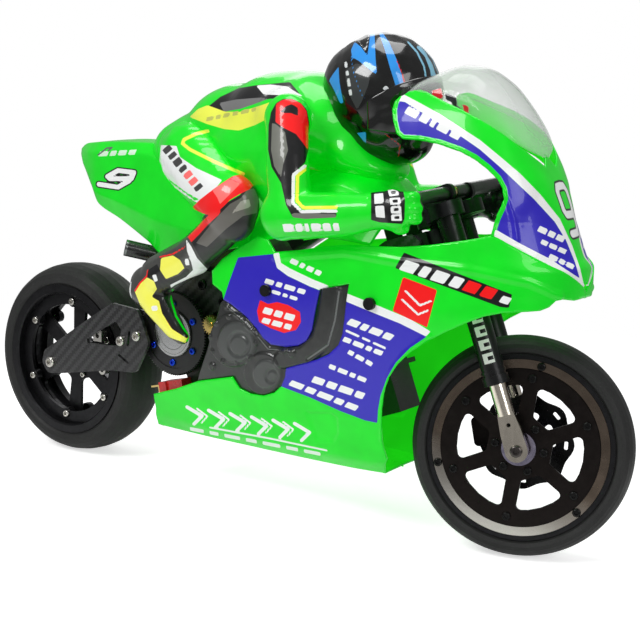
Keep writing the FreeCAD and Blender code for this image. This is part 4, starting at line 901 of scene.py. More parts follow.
SHOULDER_FOLD = points(137.5,128.5, 172.5,126, 200,131, 235,135, 265,141.5, 280,148)
FRONT_HOLLOW = points(235,131, 260,137.5, 278,144, 274,150, 250,151, 235,150)
FRONT_RIM = points(214.5,168, 202.5,177, 195.5,185.5, 192.5,193, 191,205, 191,220)


def side_relief(at, uv):
    height = -0.9 * hill(area_depth(at, LOWER_RECESS), 1.1)
    height += 0.9 * stroke_hill(at, SHOULDER_FOLD, 1.75, 2.5)
    height -= 0.5 * hill(area_depth(at, FRONT_HOLLOW), 7)
    height += 0.6 * stroke_hill(at, FRONT_RIM, 1.1, 1)
    return np.where(uv[:, 1] < 33, 0, height)       # the belly stays plain


cover_uv = side_chart.lift(COVER_OUTLINE)
side_uv = [*side_chart.lift(SIDE_FRONT), *SIDE_BELLY, *side_chart.lift(SIDE_REAR)]
side = body_panel("side_shell_r", side_uv, 0.95, side_relief, [cover_uv])

UPPER_STRIPE = points(136.5,126.75, 139.5,126.3, 140.5,131.5, 145,134.25, 156,139.5, 165.5,143.4,
                      159.75,145, 155,143.25, 144,138, 138.5,134)
LOWER_STRIPE = points(173.5,146.75, 190,153.25, 205,159.5, 215.25,165.75, 213,168.25, 200,161.75,
                      187.5,156.75, 173,150.75)
SIDE_BLUE = points(
    119,128.75, 136.5,127, 138.5,134, 144,138, 155,143.25, 173,150.5, 187.5,156.5, 200,161.5,
    213.5,168.25, 205,174, 198,181.25, 193.5,189, 190.25,198, 189,205, 188.65,211.5,
    182.5,210.25, 170,205.5, 155,198.75, 140.5,193.25, 142,184.5, 131,170, 111.25,151, 114.5,141)
BLACK_BAND = points(202,126.25, 256,147.25, 254.5,154, 250,153.5, 197.5,134)
BADGE = points(201.5,138.5, 218.5,145, 213.5,163.75, 196.25,155.5)
BADGE_LINES = [(points(202.75,145.5, 210,152.75, 215.5,150.5), 0.55),
               (points(201,149.75, 209,157.25, 214,155.25), 0.55)]
EMBLEM = points(130,150, 134,152, 138.5,151, 144,152.5, 150,156, 150.5,161, 148,165, 142,166.5,
                135,164, 129.5,161, 128.5,155.5)
emblem_marks = blocks(
    ((131, 156.5), (148, 161), 3.25, (4.5, 4, 5), 1.25, 0.2),
    ((130.5, 161.25), (146, 165.25), 2.75, (4, 5, 3.5), 1.25, 0.2))
band_marks = blocks(
    ((199.25, 134.75), (253, 152.25), 5.75, (7.5, 4.5, 7.5, 5.5), 2.1, 0.35),
    ((249.3, 151), (254.5, 152.65), 3.75, (4.75,), 0.5, 0.3))
band_red = blocks(((230.75, 145), (253, 152.25), 5.75, (7, 6.5), 2, 0.35))
side_marks = blocks(
    ((95, 215.25), (164.5, 228.75), 1.7, (7, 4.5, 8, 5.5, 9, 6, 8.5), 3, -0.2),
    ((144.5, 131.25), (163, 139.5), 2.6, (4, 2.5, 3.5, 3), 1.2, 0.2),
    ((132, 141.5), (154.5, 148), 2.5, (4.5, 3, 5.5, 4), 1.3, 0.15),
    ((131.5, 145.25), (153.5, 152), 1.8, (3, 4.5, 2.5, 4), 1.2, 0.15),
    ((173, 162), (198.5, 171.75), 3.5, (5.5, 3.5, 6, 4.5), 1.3, 0.4),
    ((172.5, 165.75), (196, 176.25), 1.2, (7.5, 4.5, 7), 1.5, 0.1),
    ((171, 170.5), (194, 179.25), 2.5, (4, 5.5, 3, 4.5), 1.3, 0.2),
    ((173.5, 176.75), (189, 185.25), 2.3, (3, 4.5, 3.5), 1.3, 0.1),
    ((164, 184), (185.5, 192.5), 2.3, (3.5, 5, 3, 4.5), 1.3, 0.1),
    ((155.5, 191), (183.5, 200.5), 3.4, (6, 5, 7, 4.5), 1.5, 0.2),
    ((144, 192.5), (183.5, 207.75), 3, (7, 5, 7.5, 4.5, 6), 1.5, 0.35))
# six chevrons along the lower edge, thin ones between them, and a line below
belly_lines = [(points(105,213.75, 135,219.25, 163.5,225.25), 0.45)]
for i in range(6):
    corner = np.array([98 + 10.75 * i, 203.75 + 1.65 * i])
    belly_lines.append((corner + points(-4.5,-0.25, 3,4.25, -1,8.25), 0.85))
    if i < 5:
        belly_lines.append((corner + points(0.5,0.5, 5.75,4.4, 2.75,7.75), 0.4))
artwork(side, to_sheet(coords(side)),
        blue=([SIDE_BLUE],),
        white=([UPPER_STRIPE, LOWER_STRIPE] + band_marks + side_marks,
               BADGE_LINES + belly_lines),
        black=([BLACK_BAND],),
        red=([BADGE, EMBLEM] + band_red,),
        white2=(band_marks + emblem_marks, BADGE_LINES))
dress(side, paint("side_paint", GREEN, dict(blue=BLUE, white=WHITE, black=BLACK, red=RED,
                                            white2=WHITE)))
side_left = mirrored(side, "side_shell_l")
for ob, replaced in ((side, "side_fairing_right"), (side_left, "side_fairing_left")):
    add_shell(ob)
    fit(ob, replaced)

# ---------------------------------------------------------------- engine covers
# centre, radius, height of each step of the two stepped discs
COVER_DISCS = [((116.5, 170), 13.5, 1.3), ((118, 171), 10, 0.8), ((120, 172), 6.5, -0.6),
               ((120, 172.5), 4.75, 0.9), ((131, 187), 10.5, 1.0), ((133, 187), 7, 0.7),
               ((136, 188), 3.75, -0.7), ((136, 188), 2.5, 0.5)]
COVER_STUDS = points(142.5,175, 146.5,176.5, 105.5,183.5, 113,153)
COVER_PIPE = points(165.5,145.5, 163.5,159, 160,170.5, 152,177.5, 142,179.5)
PIPE_GROOVE = points(169.5,146, 167.5,160, 164,172.5, 154,179.5)
COVER_RIB = points(113.5,153.5, 122,160.5, 129,168.5, 134,174.5, 145,175.5)


def disc(at, centre, radius, blend=0.8):
    return hill(radius - np.hypot((at[:, 0] - centre[0]) * 1.12, at[:, 1] - centre[1]), blend)


def cover_relief(at, uv):
    height = np.full(len(at), -1.2)
    for centre, radius, rise in COVER_DISCS:
        height += rise * disc(at, centre, radius)
    for i in range(10):                             # ring of bolts round the upper disc
        angle = math.radians(36 * i + 8)
        bolt = (116.5 + 11.75 * math.cos(angle), 170 + 12 * math.sin(angle))
        height += 0.8 * disc(at, bolt, 1.15, 0.5)
    for stud in COVER_STUDS:
        height += 1.1 * disc(at, stud, 1.8, 0.5)
    height += 1.9 * stroke_hill(at, COVER_PIPE, 4.75, 2.5)
    height -= 0.8 * stroke_hill(at, PIPE_GROOVE, 0.6, 0.75)
    height += 0.9 * stroke_hill(at, COVER_RIB, 0.75, 1)
    return height


cover = body_panel("engine_cover_r", cover_uv, 0.6, cover_relief)
at = to_sheet(coords(cover))
artwork(cover, at, edge=([], [(PIPE_GROOVE, 0.45), (COVER_RIB, 0.25)]))
store(cover, "lit", np.maximum(disc(at, (118, 171), 10, 1.5),
                               disc(at, (133, 187), 7.5, 1.5)) * 2 - 1)
dress(cover, smoked_cover())
cover_left = mirrored(cover, "engine_cover_l")
for ob, replaced in ((cover, "engine_covers"), (cover_left, None)):
    add_wall(ob, 0.8)
    fit(ob, replaced)

# ---------------------------------------------------------------- nose cowl
nose_chart = Chart((78, 194.9), (128, 221))
# up the rear edge from the fairing, round the windscreen and forward to the tip
NOSE_OUTLINE = points(
    246,117.75, 247.25,113, 249,107.5, 251.25,103, 252.5,99, 251.75,94, 249,89.25, 244,84.25,
    237.5,79.25, 230.5,75.5, 220,71.75, 210,69.65, 201.5,69.1, 198.5,66.5, 197,60.5, 196.5,55,
    197.75,51, 200.5,48.5, 204.5,45.65, 210,44.75, 219.5,49.25, 230,54.25, 240,59.75, 250,66,
    259.5,73.25, 267,78.75, 272.9,83.5)
NOSE_REAR_EDGE = NOSE_OUTLINE[:18]
NOSE_MIDDLE = points(195,190, 195,134.2)            # u, v down the middle of the nose
NOSE_RIDGE = points(250,93.5, 254,101.5, 257,110, 258.5,120)
NOSE_GROOVE = points(252.5,100, 255,107, 256.5,118)
NOSE_HOLLOW = points(270,95, 280,111, 287.5,129, 291,142.5, 260,126, 260,107.5)


def nose_relief(at, uv):
    height = 0.7 * stroke_hill(at, NOSE_RIDGE, 0.8, 1.5)
    height -= 0.5 * stroke_hill(at, NOSE_GROOVE, 0.5, 1)
    height += 0.7 * stroke_hill(at, NOSE_REAR_EDGE, 0.7, 1)
    height -= 0.8 * hill(area_depth(at, NOSE_HOLLOW), 9)
    return height


nose_uv = [*nose_chart.lift(NOSE_OUTLINE), *NOSE_MIDDLE, *nose_chart.lift(NOSE_SEAM[::-1])]
nose_right = body_panel("nose_r", nose_uv, 0.85, nose_relief)
NOSE_BLUE = points(
    199.5,50.5, 202.5,51, 231,68.5, 240,74.75, 250,83.5, 260,93, 267,99.5, 277.5,111, 283,120,
    287.5,131, 290.5,140.5, 275,130, 260,122, 248.25,115.5, 250.25,109.5, 252.5,104.75,
    254.15,99.5, 253.5,94, 250.5,88.25, 245.25,82.75, 238.5,77.5, 231,73.5, 220.5,69.75,
    210.5,67.8, 202,67.4, 199.75,65, 198.75,60, 198.5,55)
NOSE_WHITE = [
    points(201.5,47, 210,51.5, 220,57, 230,63.5, 240,70, 250,78.25, 260,86.75, 270,97,
           280,109.5, 286,122.5, 290,134, 292.25,143.75, 290,139.5, 287.5,131, 283,120,
           277.5,111, 267,99.5, 260,93, 250,83.5, 240,74.75, 231,68.5, 202.5,51, 199.5,50.5),
    points(247.5,115, 248.75,115.25, 260,121.75, 275,129.5, 291,140, 293,144.25, 275,132.75,
           260,125.25, 247,118.5)]
nose_marks = blocks(
    ((202, 56.5), (230, 70.75), 4, (6.5, 4.5, 2.5, 6, 5), 1.4, 0.1),
    ((268.5, 115.5), (283, 122), 3, (4.5, 3.5, 4), 1, 0.1),
    ((270, 121.75), (285, 128.25), 2.4, (3.5, 4, 4), 1, 0.1),
    ((274, 129), (288.5, 135.75), 2.5, (4.5, 3, 4), 1, 0.1))
artwork(nose_right, to_sheet(coords(nose_right)),
        blue=([NOSE_BLUE],), white=(NOSE_WHITE + nose_marks,))
dress(nose_right, paint("nose_paint", GREEN, dict(blue=BLUE, white=WHITE, num_o=BLACK,
                                                  num_i=WHITE)))
nose = join("nose_shell", [nose_right, mirrored(nose_right, "nose_l")])
weld(nose)
# race number on the front: a bowl and a stem in y, z
BOWL = points(2.6,176, -1.6,175.6, -3.2,173.4, -3,165.6, -1.6,163.4, 6,163.4, 7.6,166, 7.6,173.4,
              6,175.8, 2.6,176)
STEM = points(7.6,168, 7.5,158.6, 5.8,155.4, -1.8,155)
places = coords(nose)
for layer, stroke in (("num_o", 2.5), ("num_i", 1.6)):
    number = np.maximum(*[line_depth(places[:, 1:], line, stroke) for line in (BOWL, STEM)])
    store(nose, layer, np.where(places[:, 0] > 120, number, OUTSIDE))
fix_normals(nose)
shade_smooth(nose)
add_shell(nose)
fit(nose, "nose_cowl")

# ---------------------------------------------------------------- windscreen
# x, crest height, foot height, half width
SCREEN_STATIONS = np.array([
    (84.5, 217.0, 211.5, 21.0), (88.2, 219.0, 213.7, 22.5), (93, 223.0, 215.6, 23.6),
    (100, 226.6, 213.3, 24.4), (109, 229.2, 210.0, 24.8), (116.7, 228.4, 207.2, 24.9),
    (127.3, 222.6, 203.0, 24.6), (134, 215.2, 200.2, 23.4), (140.8, 205.4, 196.6, 20.8),
    (146, 196.2, 192.6, 15.6), (150.3, 188.6, 188.2, 2.0)])
SCREEN_ROWS, SCREEN_STEPS = 66, 40
station_x = SCREEN_STATIONS[:, 0]
screen_x = np.linspace(station_x[0], station_x[-1], SCREEN_ROWS)
verts = []
for x, (crest, foot, width) in zip(
        screen_x, smooth_table(station_x, SCREEN_STATIONS[:, 1:], screen_x)):
    for k in range(SCREEN_STEPS + 1):
        angle = math.pi * (k / SCREEN_STEPS - 0.5)
        rise = max(math.cos(angle), 0) ** 0.85
        verts.append((x, width * math.sin(angle), foot + (crest - foot) * rise))
screen = mesh_object("windscreen_shell", verts, grid_faces(SCREEN_ROWS, SCREEN_STEPS + 1))
fix_normals(screen)
SCREEN_MARKS = dict(
    m_red=[points(215.5,45.5, 220.5,44, 221.5,49, 217,50.5),
           points(231,52, 234,53, 235,56.5, 232,56)],
    m_dark=[points(222,46, 228,48.5, 228.5,52, 223,50),
            points(226,52, 230.5,54, 231.5,57.5, 227.5,56)],
    m_blue=[points(218.5,51, 224.5,52, 225.5,54.5, 220,53.5)])
places = coords(screen)
for layer, marks in SCREEN_MARKS.items():           # right side only
    field = art_field(to_sheet(places), marks)
    store(screen, layer, np.where(places[:, 1] < 0, field, OUTSIDE))
dress(screen, smoked_clear())
add_wall(screen, 0.6)
fit(screen, "windscreen")


# ---------------------------------------------------------------- tail and tank
def loft(name, stations, step=1.0):
    """Shell through stations: smooth along x, near straight between the points of a ring."""
    table = np.array(stations, float)
    count = int((table[-1, 0] - table[0, 0]) / step)
    xs = np.linspace(table[0, 0], table[-1, 0], count)
    sections = smooth_table(table[:, 0], table[:, 1:], xs).reshape(count, -1, 2)
    corners = table[:, 1:].reshape(len(table), -1, 2)
    lengths = np.linalg.norm(np.diff(corners, axis=1), axis=2).max(0)
    steps = [max(2, int(length / step)) for length in lengths]
    rings = []
    for section in sections:
        ring = [section[k] + (section[k + 1] - section[k]) * (j / n)
                for k, n in enumerate(steps) for j in range(n)]
        rings.append(ring + [section[-1]])
    rings = np.array(rings)
    for _ in range(2):                              # soften the folds a little
        rings[:, 1:-1] = rings[:, 1:-1] * 0.5 + (rings[:, :-2] + rings[:, 2:]) * 0.25
    across = rings.shape[1]
    verts, faces = [], []
    for sign in (-1, 1):                            # right half, then left
        first = len(verts)
        verts += [(x, sign * y, z) for x, ring in zip(xs, rings) for y, z in ring]
        for i in range(count - 1):
            for k in range(across - 1):
                a = first + i * across + k
                quad = (a, a + 1, a + across + 1, a + across)
                faces.append(quad if sign < 0 else quad[::-1])
    ob = mesh_object(name, verts, faces)
    weld(ob)
    fix_normals(ob)
    shade_smooth(ob)
    return ob


# x, then half width and height at the top centre, top edge, shoulder, lower fold, bottom edge
TAIL_STATIONS = [
    (-136.5, 0, 183.2, 5, 183.0, 7.5, 181.0, 8.0, 178.0, 7.6, 176.0),
    (-128.0, 0, 185.0, 11, 184.4, 14, 180.0, 15, 174.5, 14.2, 171.6),
    (-118.0, 0, 186.2, 16, 185.2, 20, 179.8, 20.5, 167.0, 18.5, 161.5),
    (-109.0, 0, 187.0, 19, 185.8, 23, 180.2, 24.5, 158.5, 21.5, 151.5),
    (-92.0, 0, 188.0, 21, 186.6, 25.5, 181.5, 27.0, 155.0, 22.5, 144.5),
    (-70.0, 0, 188.2, 22, 186.8, 27.5, 181.0, 29.0, 149.5, 24.0, 134.0),
    (-56.0, 0, 185.0, 22, 183.6, 28.0, 178.0, 30.5, 146.5, 26.0, 127.0),
    (-44.0, 0, 172.0, 22, 171.0, 29.0, 166.0, 32.0, 145.0, 29.0, 129.0),
    (-30.0, 0, 161.0, 22, 160.0, 30.0, 156.0, 34.0, 144.0, 34.0, 131.0),
    (0.0, 0, 157.5, 22, 156.8, 31.0, 153.0, 36.0, 144.0, 37.5, 137.0),
    (10.0, 0, 162.5, 21, 161.2, 31.0, 156.5, 36.5, 146.5, 38.5, 139.5)]
TANK_STATIONS = [
    (10.4, 0, 163.0, 14, 162.0, 26, 157.5, 35.5, 147.5, 38.7, 140.5),
    (30.0, 0, 176.5, 14, 175.0, 27, 168.0, 36.5, 152.0, 39.5, 145.0),
    (52.0, 0, 181.0, 14, 179.5, 27, 171.5, 36.5, 154.5, 40.0, 147.6),
    (70.0, 0, 176.0, 13, 174.0, 25, 166.5, 35.0, 153.0, 39.5, 147.0),
    (81.5, 0, 163.0, 12, 161.5, 22, 157.0, 32.0, 150.5, 38.5, 146.0)]
tail = loft("tail_shell", TAIL_STATIONS)
tail_end = TAIL_STATIONS[0][0]
with edited(tail.data) as bm:                       # close the rear end
    end_edges = [edge for edge in bm.edges if edge.is_boundary and all(
        abs(vert.co.x * 1000 - SHIFT_X - tail_end) < 0.01 for vert in edge.verts)]
    bmesh.ops.holes_fill(bm, edges=end_edges, sides=0)
NINE_LOOP = points(59,85.25, 67,86.25, 65.75,89.25, 55,89.4, 53.75,88.25, 59,85.25)
NINE_LEG = points(67,86.25, 64.5,90.5, 59,93.6, 49.5,92.15)
places = coords(tail)
at = to_sheet(places)
number_at = at.copy()                # turned so that the number reads rightly on the left too
on_left = places[:, 1] > 0
number_at[on_left, 0] = 118.25 - number_at[on_left, 0]
artwork(tail, number_at, num_o=([], [(NINE_LOOP, 1.8), (NINE_LEG, 1.8)]),
        num_i=([], [(NINE_LOOP, 1.15), (NINE_LEG, 1.15)]))
artwork(tail, at,
        white=(blocks(((49, 78.25), (69, 77.25), 2.5, (4.5, 3, 4, 3.5), 1.1, 0.5)),),
        grey=([], [(points(49,77.5, 53.5,74, 56,73.75, 54,75.5), 0.4)]))
dress(tail, paint("tail_paint", GREEN, dict(white=srgb("cfe9d0"), grey=srgb("55605a"),
                                            num_o=BLACK, num_i=WHITE)))
add_shell(tail)
fit(tail, "seat_tail_cowl")

tank = loft("tank_shell", TANK_STATIONS)
dress(tank, paint("tank_paint", GREEN, {}))
add_shell(tank)
fit(tank, "tank_cover")


# ---------------------------------------------------------------- rider
def suit_paint(name, base, layers, roughness=0.38, coat=0.7):
    return paint(name, base, layers, roughness, coat)


torso = blob("torso_suit", [
    Ball((-62, 0, 181), (15, 27, 14)), Ball((-45, 0, 187), (24, 30, 19)),
    Ball((-22, 0, 195), (32, 34, 25), -6), Ball((4, 0, 201), (30, 37, 25), -2),
    Ball((24, 0, 201), (22, 36, 25), 8), Ball((37, 0, 198), (17, 30, 24), 20),
    Ball((47, 0, 194), (14, 22, 19), 30), Ball((6, 0, 214), (30, 17, 12), -8),
    Ball((-24, 0, 203), (34, 16, 13.5), -16), Ball((60, 0, 182), (17, 22, 9), 25),
    Ball((52, 0, 186), (16, 25, 14), 20),
    *both_sides([
        Ball((2, -27, 186), (26, 13, 19), -20), Ball((18, -30, 186), (16, 12, 18)),
        Ball((24, -33, 172), (15, 10, 15)), Ball((24, -30, 203), (15, 13, 14)),
        Ball((-48, -18, 184), (20, 15, 16))])], voxel=1.5, smoothing=60)
HUMP = points(102.5,54.5, 106,51.75, 110,48.5, 119.5,44, 128.85,42.5, 145,41, 150,47,
              143.2,48.75, 134,49.5, 120,54, 112,56, 103.75,54)
HUMP_GREY = points(109.5,51.5, 118,49.75, 131,48.75, 134,49.5, 126,52.5, 120,54.5, 112,55.75)
HUMP_STRIPE = points(128,42.75, 135.5,42.25, 143.5,43.25, 151.5,48.1, 141.5,47.6, 131.75,47.2)
BACK_YELLOW = points(94.75,58.5, 99,54.5, 103.75,52.6, 112.35,55.75, 120,56, 131,52.5,
                     143.5,48.25, 139.5,53, 133.9,59.25, 127.5,62.5, 119.55,65.25, 112,64.5,
                     103.5,62)
CHEVRON = (points(104,65.5, 98.5,66.75, 92,69.75, 91.25,71.75, 95,74.75, 107,80.75, 121.7,87),
           0.85)
HIP_BAND = points(88,65.5, 93,65.25, 90.5,69, 88.25,73, 90,78.5, 98,84, 111,90, 107,94.5,
                  103,98.5, 98,97.5, 89,92, 81.5,84.5, 79.25,78.5, 80.25,72.5, 83.5,68)
artwork(torso, to_sheet(coords(torso)),
        white=([HUMP_STRIPE, HIP_BAND], [(points(81.5,90, 89,98, 97.5,103), 0.35)]),
        black=([HUMP] + blocks(((84, 76), (100, 93.5), 4.25, (3, 2.5, 3.5, 2.5), 1.3, 0)),),
        grey=([HUMP_GREY],),
        yellow=([BACK_YELLOW], [CHEVRON]),
        red=(blocks(((94, 86.25), (101.5, 95), 4.25, (3, 3), 1.3, 0)),),
        w2=([HUMP_STRIPE],),
        olive=(blocks(((103, 60.75), (131, 55), 2, (3.5, 2.5, 3.5, 3, 4, 2.5), 1.3, 0.3)),))
dress(torso, suit_paint("torso_paint", GREEN, dict(
    white=WHITE, black=BLACK, grey=srgb("6d6d6d"), yellow=YELLOW, olive=srgb("b9bb5a"),
    red=srgb("f58a86"), w2=WHITE)))

arms = blob("arms_suit", both_sides([
    Ball((32, -37, 202), (12.5, 10.5, 12.5)),
    Bar((32.6, -39, 200), (39.5, -47, 181), 11.4, 11.4, 0.85),
    Bar((39.5, -47, 181), (45.5, -52, 159), 11.4, 11.4, 0.85),
    Ball((41.0, -51.5, 157.5), (12.0, 9.5, 12.5)),
    Bar((47, -52, 157.5), (74, -50.5, 159.8), 11.6, 10.7, 0.85),
    Bar((74, -50.5, 159.8), (88, -49, 162), 10.7, 8.8, 0.9)]), voxel=1.3, smoothing=5)
SLEEVE = points(
    138,51.5, 141.5,49.4, 146,49.25, 150.5,51.5, 153.5,55, 154.75,62, 154.25,75, 152.5,81.5,
    146,87.4, 146.25,101.75, 151.5,106.25, 168.3,106.25, 168.3,108.5, 152.5,109, 146.1,108.25,
    143,102.5, 140.5,91.5, 135.75,83.5, 134,75, 134.25,62.5, 135.5,56)
SLEEVE_RED = points(138,52, 141.5,49.75, 146,49.5, 150.5,51.75, 153.25,55.5, 154.25,62, 154,75,
                    151.5,71.5, 148,67, 142,64, 137.75,61)
SLEEVE_BLACK = points(140,56, 143,53, 146,52, 149,54, 149,58, 145.5,56.5, 142,56.5)
SLEEVE_GREY = [points(136,61, 138.5,62.5, 142.5,66, 144,75, 141.5,82.5, 140.5,89, 137,83,
                      135.5,75),
               points(145.5,106.5, 168,107, 168,108.75, 152.5,109.5, 146.5,108.75)]
WHITE_PIPING = points(152.5,83, 146.75,87.4, 146.5,101.5, 150.75,105.8, 168.3,105.5)
YELLOW_PIPING = points(152.75,84.5, 148.75,87.75, 148.5,100.5, 151.75,103.9, 168.3,103.65)
artwork(arms, to_sheet(coords(arms)),
        black=([SLEEVE],), grey=(SLEEVE_GREY,), red=([SLEEVE_RED],), b2=([SLEEVE_BLACK],),
        white=(blocks(((142, 116), (168, 115.5), 4, (5, 3.5, 2, 4.5, 4, 3), 1.2, -0.2)),
               [(WHITE_PIPING, 0.85)]),
        yellow=([], [(YELLOW_PIPING, 0.85)]))
dress(arms, suit_paint("arm_paint", GREEN, dict(
    black=BLACK, grey=srgb("6e7068"), red=RED, b2=BLACK, yellow=srgb("eff03a"), white=WHITE)))

gloves = blob("gloves", both_sides([
    Bar((88, -49, 162.3), (96, -48.6, 163.3), 8.8, 9.0, 0.8),
    Ball((99, -48.4, 163.5), (8.6, 7.6, 9.4)), Ball((105, -47.5, 164.5), (5.8, 6.4, 8.0)),
    Ball((102.5, -50.5, 159), (5.5, 5.0, 4.0)), Ball((103, -47, 155.6), (4.2, 5.2, 3.0)),
    Ball((108.6, -47, 169.8), (3.6, 5.4, 3.0)), Ball((110.2, -47, 165.0), (3.4, 5.4, 2.8)),
    Ball((110.2, -47, 160.4), (3.4, 5.4, 2.8))]), voxel=0.9, smoothing=4)
GLOVE_PANEL = points(185.5,94.5, 197,93.75, 201.5,95, 202.5,100, 202.25,109.5, 201,112,
                     190,111.25, 185.5,110)
GLOVE_WHITE = [points(193.75,94.75, 198.75,94.25, 199.5,97.5, 194.75,98.25),
               points(194.65,99, 200,98.75, 200.5,102, 195.15,102.4),
               points(195.25,103.15, 200.5,103, 200.75,106.25, 195.5,106.5),
               points(195.5,107.25, 200.75,107.1, 201,110.4, 195.75,110.4),
               points(187,97, 191.5,96.5, 192,101.5, 187.25,102),
               points(187.5,103, 192,102.75, 192.5,109, 188,108.5)]
KNUCKLE_DOTS = [points(195.25,95.6, 197.75,95.35, 198.25,96.8, 195.75,97.3),
                points(196.15,99.85, 199,99.7, 199.25,101.2, 196.5,101.45),
                points(196.7,104, 199.4,103.9, 199.5,105.4, 196.85,105.6),
                points(197,108.1, 199.65,108, 199.75,109.5, 197.15,109.5)]
places = coords(gloves)
at = to_sheet(places)
outward = np.abs(places[:, 1])
# the inner sides are black; white stays on the outer sides
store(gloves, "black", np.maximum(art_field(at, [GLOVE_PANEL]), (46.5 - outward) * 2))
store(gloves, "white", np.where(outward > 48.5, art_field(at, GLOVE_WHITE), OUTSIDE))
artwork(gloves, at, b2=(KNUCKLE_DOTS,))
dress(gloves, suit_paint("glove_paint", GREEN, dict(black=BLACK, white=WHITE, b2=BLACK),
                         coat=0.6))

legs = blob("legs_suit", both_sides([
    Ball((-41, -22, 183), (20, 15, 17)),
    Bar((-35.3, -30, 181.2), (-19.1, -38, 172.2), 18.0, 17.0, 0.78),
    Bar((-19.1, -38, 172.2), (-2, -44, 162.5), 17.0, 15.5, 0.78),
    Ball((4.6, -46, 159.6), (16.2, 11.5, 16.2)), Ball((6.5, -46.5, 153.5), (13.0, 9.5, 12.5)),
    Bar((2.0, -45, 149.5), (-17.2, -42, 136), 10.2, 10.2, 0.9),
    Bar((-17.2, -42, 136), (-26, -40, 130.5), 10.2, 10.4, 0.85)]), voxel=1.3, smoothing=5)
THIGH_BAND = points(80.25,72.5, 88.25,73, 90,78.5, 98,84, 111,90, 108,94, 103,98.5, 100,100,
                    93,96, 85,90, 80,83)
KNEE_RED = points(95.85,104, 100,99.75, 104.5,96.25, 111,91.5, 116.5,88, 122.5,86.65, 128.25,91,
                  125,94.5, 120,97, 115,100, 112,103, 106.5,108, 101.5,106.75)
KNEE_PINK = points(106,95, 114.5,89.5, 120,92, 114,98, 110,102, 108.5,98.5)
SHIN = points(123,93, 129,89.5, 137.5,95, 137.5,117.5, 122.5,131, 106,146, 91,137, 88,123,
              94.5,116.5, 104,105.5, 113,101.5, 120,97.5)
# painted highlight: lighter grey over the upper half of the black shin
SHIN_HIGHLIGHT = points(123.5,95, 127,94, 129.5,99.5, 128.5,106.5, 121.5,108, 113,114.5, 103.5,123.5,
                   98,121.5, 104,114, 109.5,107.5, 115,102, 120.5,99)
KNEE_PATCH = points(120.5,100.5, 124.5,99.5, 125.5,103.5, 119,105.5, 115.5,107)
KNEE_LINES = [(points(123.5,93.5, 127.5,91.75, 131,99, 130,109.5), 0.4),
              (points(107,107.5, 101.5,113.5, 95.5,119), 0.45)]
# boot artwork, which also covers the lower ends of the legs
BOOT_OUTLINE = points(60,146.5, 64.5,140, 73,133, 81,125.5, 93.5,118, 96,121.5, 99.5,128,
                      106,136, 96,140, 87,144.5, 86,150, 89.5,159, 94.5,167.5, 94.5,174.5,
                      83,171, 74.5,161, 69,155.5, 62,153)
BOOT_YELLOWS = [
    points(80.5,129, 86.5,127.75, 90,130, 92.25,134, 89,137, 83,139.5, 80,135),
    points(67.5,146, 70,142, 73.5,138.75, 77,140.5, 78.5,144.5, 76,148, 80,150.5, 81.5,156.5,
           86,164, 94,169.25, 92.75,171.5, 84,168.5, 75,159, 70.5,153.5)]
BOOT_BLACK = points(74,135, 78.5,132, 80.5,136, 83,140, 90,137.5, 93,134, 95,135, 94,138.5,
                    85,143, 84,149.5, 88,160, 94.5,167.5, 93.5,169.25, 86,164.5, 81,156.5,
                    79.5,150.5, 76,148.5, 78.5,144.5, 77,140.5, 73.5,138.5)
BOOT_RED_LINES = [(points(67.5,145.5, 70,141.5, 73.5,138, 74,135), 0.4),
                  (points(80,151, 81.5,156.5, 86,164, 94,169), 0.4),
                  (points(64.5,144, 65,149.5, 68,153.5, 74.5,160), 0.55),
                  (points(80,128.5, 86.5,127, 92.5,123.5), 0.4)]
BOOT_WHITES = [
    points(93,119.5, 95.5,123, 98.5,129, 104.5,135.5, 95,139, 87.5,142.5, 85.5,144, 85,142.5,
           93,138.5, 96.5,135, 95.5,130.5, 93.5,125.5),
    points(62,146.5, 63.5,143, 65.75,140.5, 65.25,146, 66.5,151.5, 63.5,151),
    points(76,137.5, 78,137.25, 79,140.5, 77.25,141),
    points(75.5,153, 78.5,152.75, 79,155.25, 76,155.5),
    points(92.25,129.5, 94.25,129.25, 94.75,132.5, 92.75,132.75)]
BOOT_GREEN_LINE = (points(86.5,145, 85.5,149.5, 88,158, 92,164.5, 95,168, 93.5,170.5), 0.5)
artwork(legs, to_sheet(coords(legs)),
        yellow=([], [CHEVRON]),
        white=([THIGH_BAND], [(points(80.5,75, 80,82, 85,91.5, 95,99, 101.5,102.5), 0.4)]),
        lblk=(blocks(((81, 75), (98.5, 96.5), 4.5, (3, 2.5, 3.5, 2.5), 1.2, 0),
                     ((96.6, 94.15), (100, 98.3), 4.5, (2.5,), 0.5, 0)),),
        red=([KNEE_RED], [(points(108.5,106, 102.5,111.5, 98,116.5, 94.5,120), 1.6)]),
        pink=(blocks(((91.3, 87.65), (98.5, 96.5), 4.5, (3, 3), 1.2, 0)) + [KNEE_PINK],),
        # the grey layer on the shin is a painted highlight
        black=([SHIN],), grey=([SHIN_HIGHLIGHT],), lgrey=([KNEE_PATCH], KNEE_LINES),
        boot=([BOOT_OUTLINE],), b_yel=(BOOT_YELLOWS,), b_blk=([BOOT_BLACK],),
        b_wht=(BOOT_WHITES,), b_red=([], BOOT_RED_LINES))
dress(legs, suit_paint("leg_paint", GREEN, dict(
    yellow=YELLOW, white=WHITE, lblk=srgb("3a3a3a"), black=srgb("1a1a1a"), grey=srgb("5d5a55"),
    lgrey=srgb("96918a"), red=RED, pink=srgb("fb6f6c"), boot=BOOT_GREY, b_yel=BOOT_YELLOW,
    b_blk=BLACK, b_wht=WHITE, b_red=RED)))

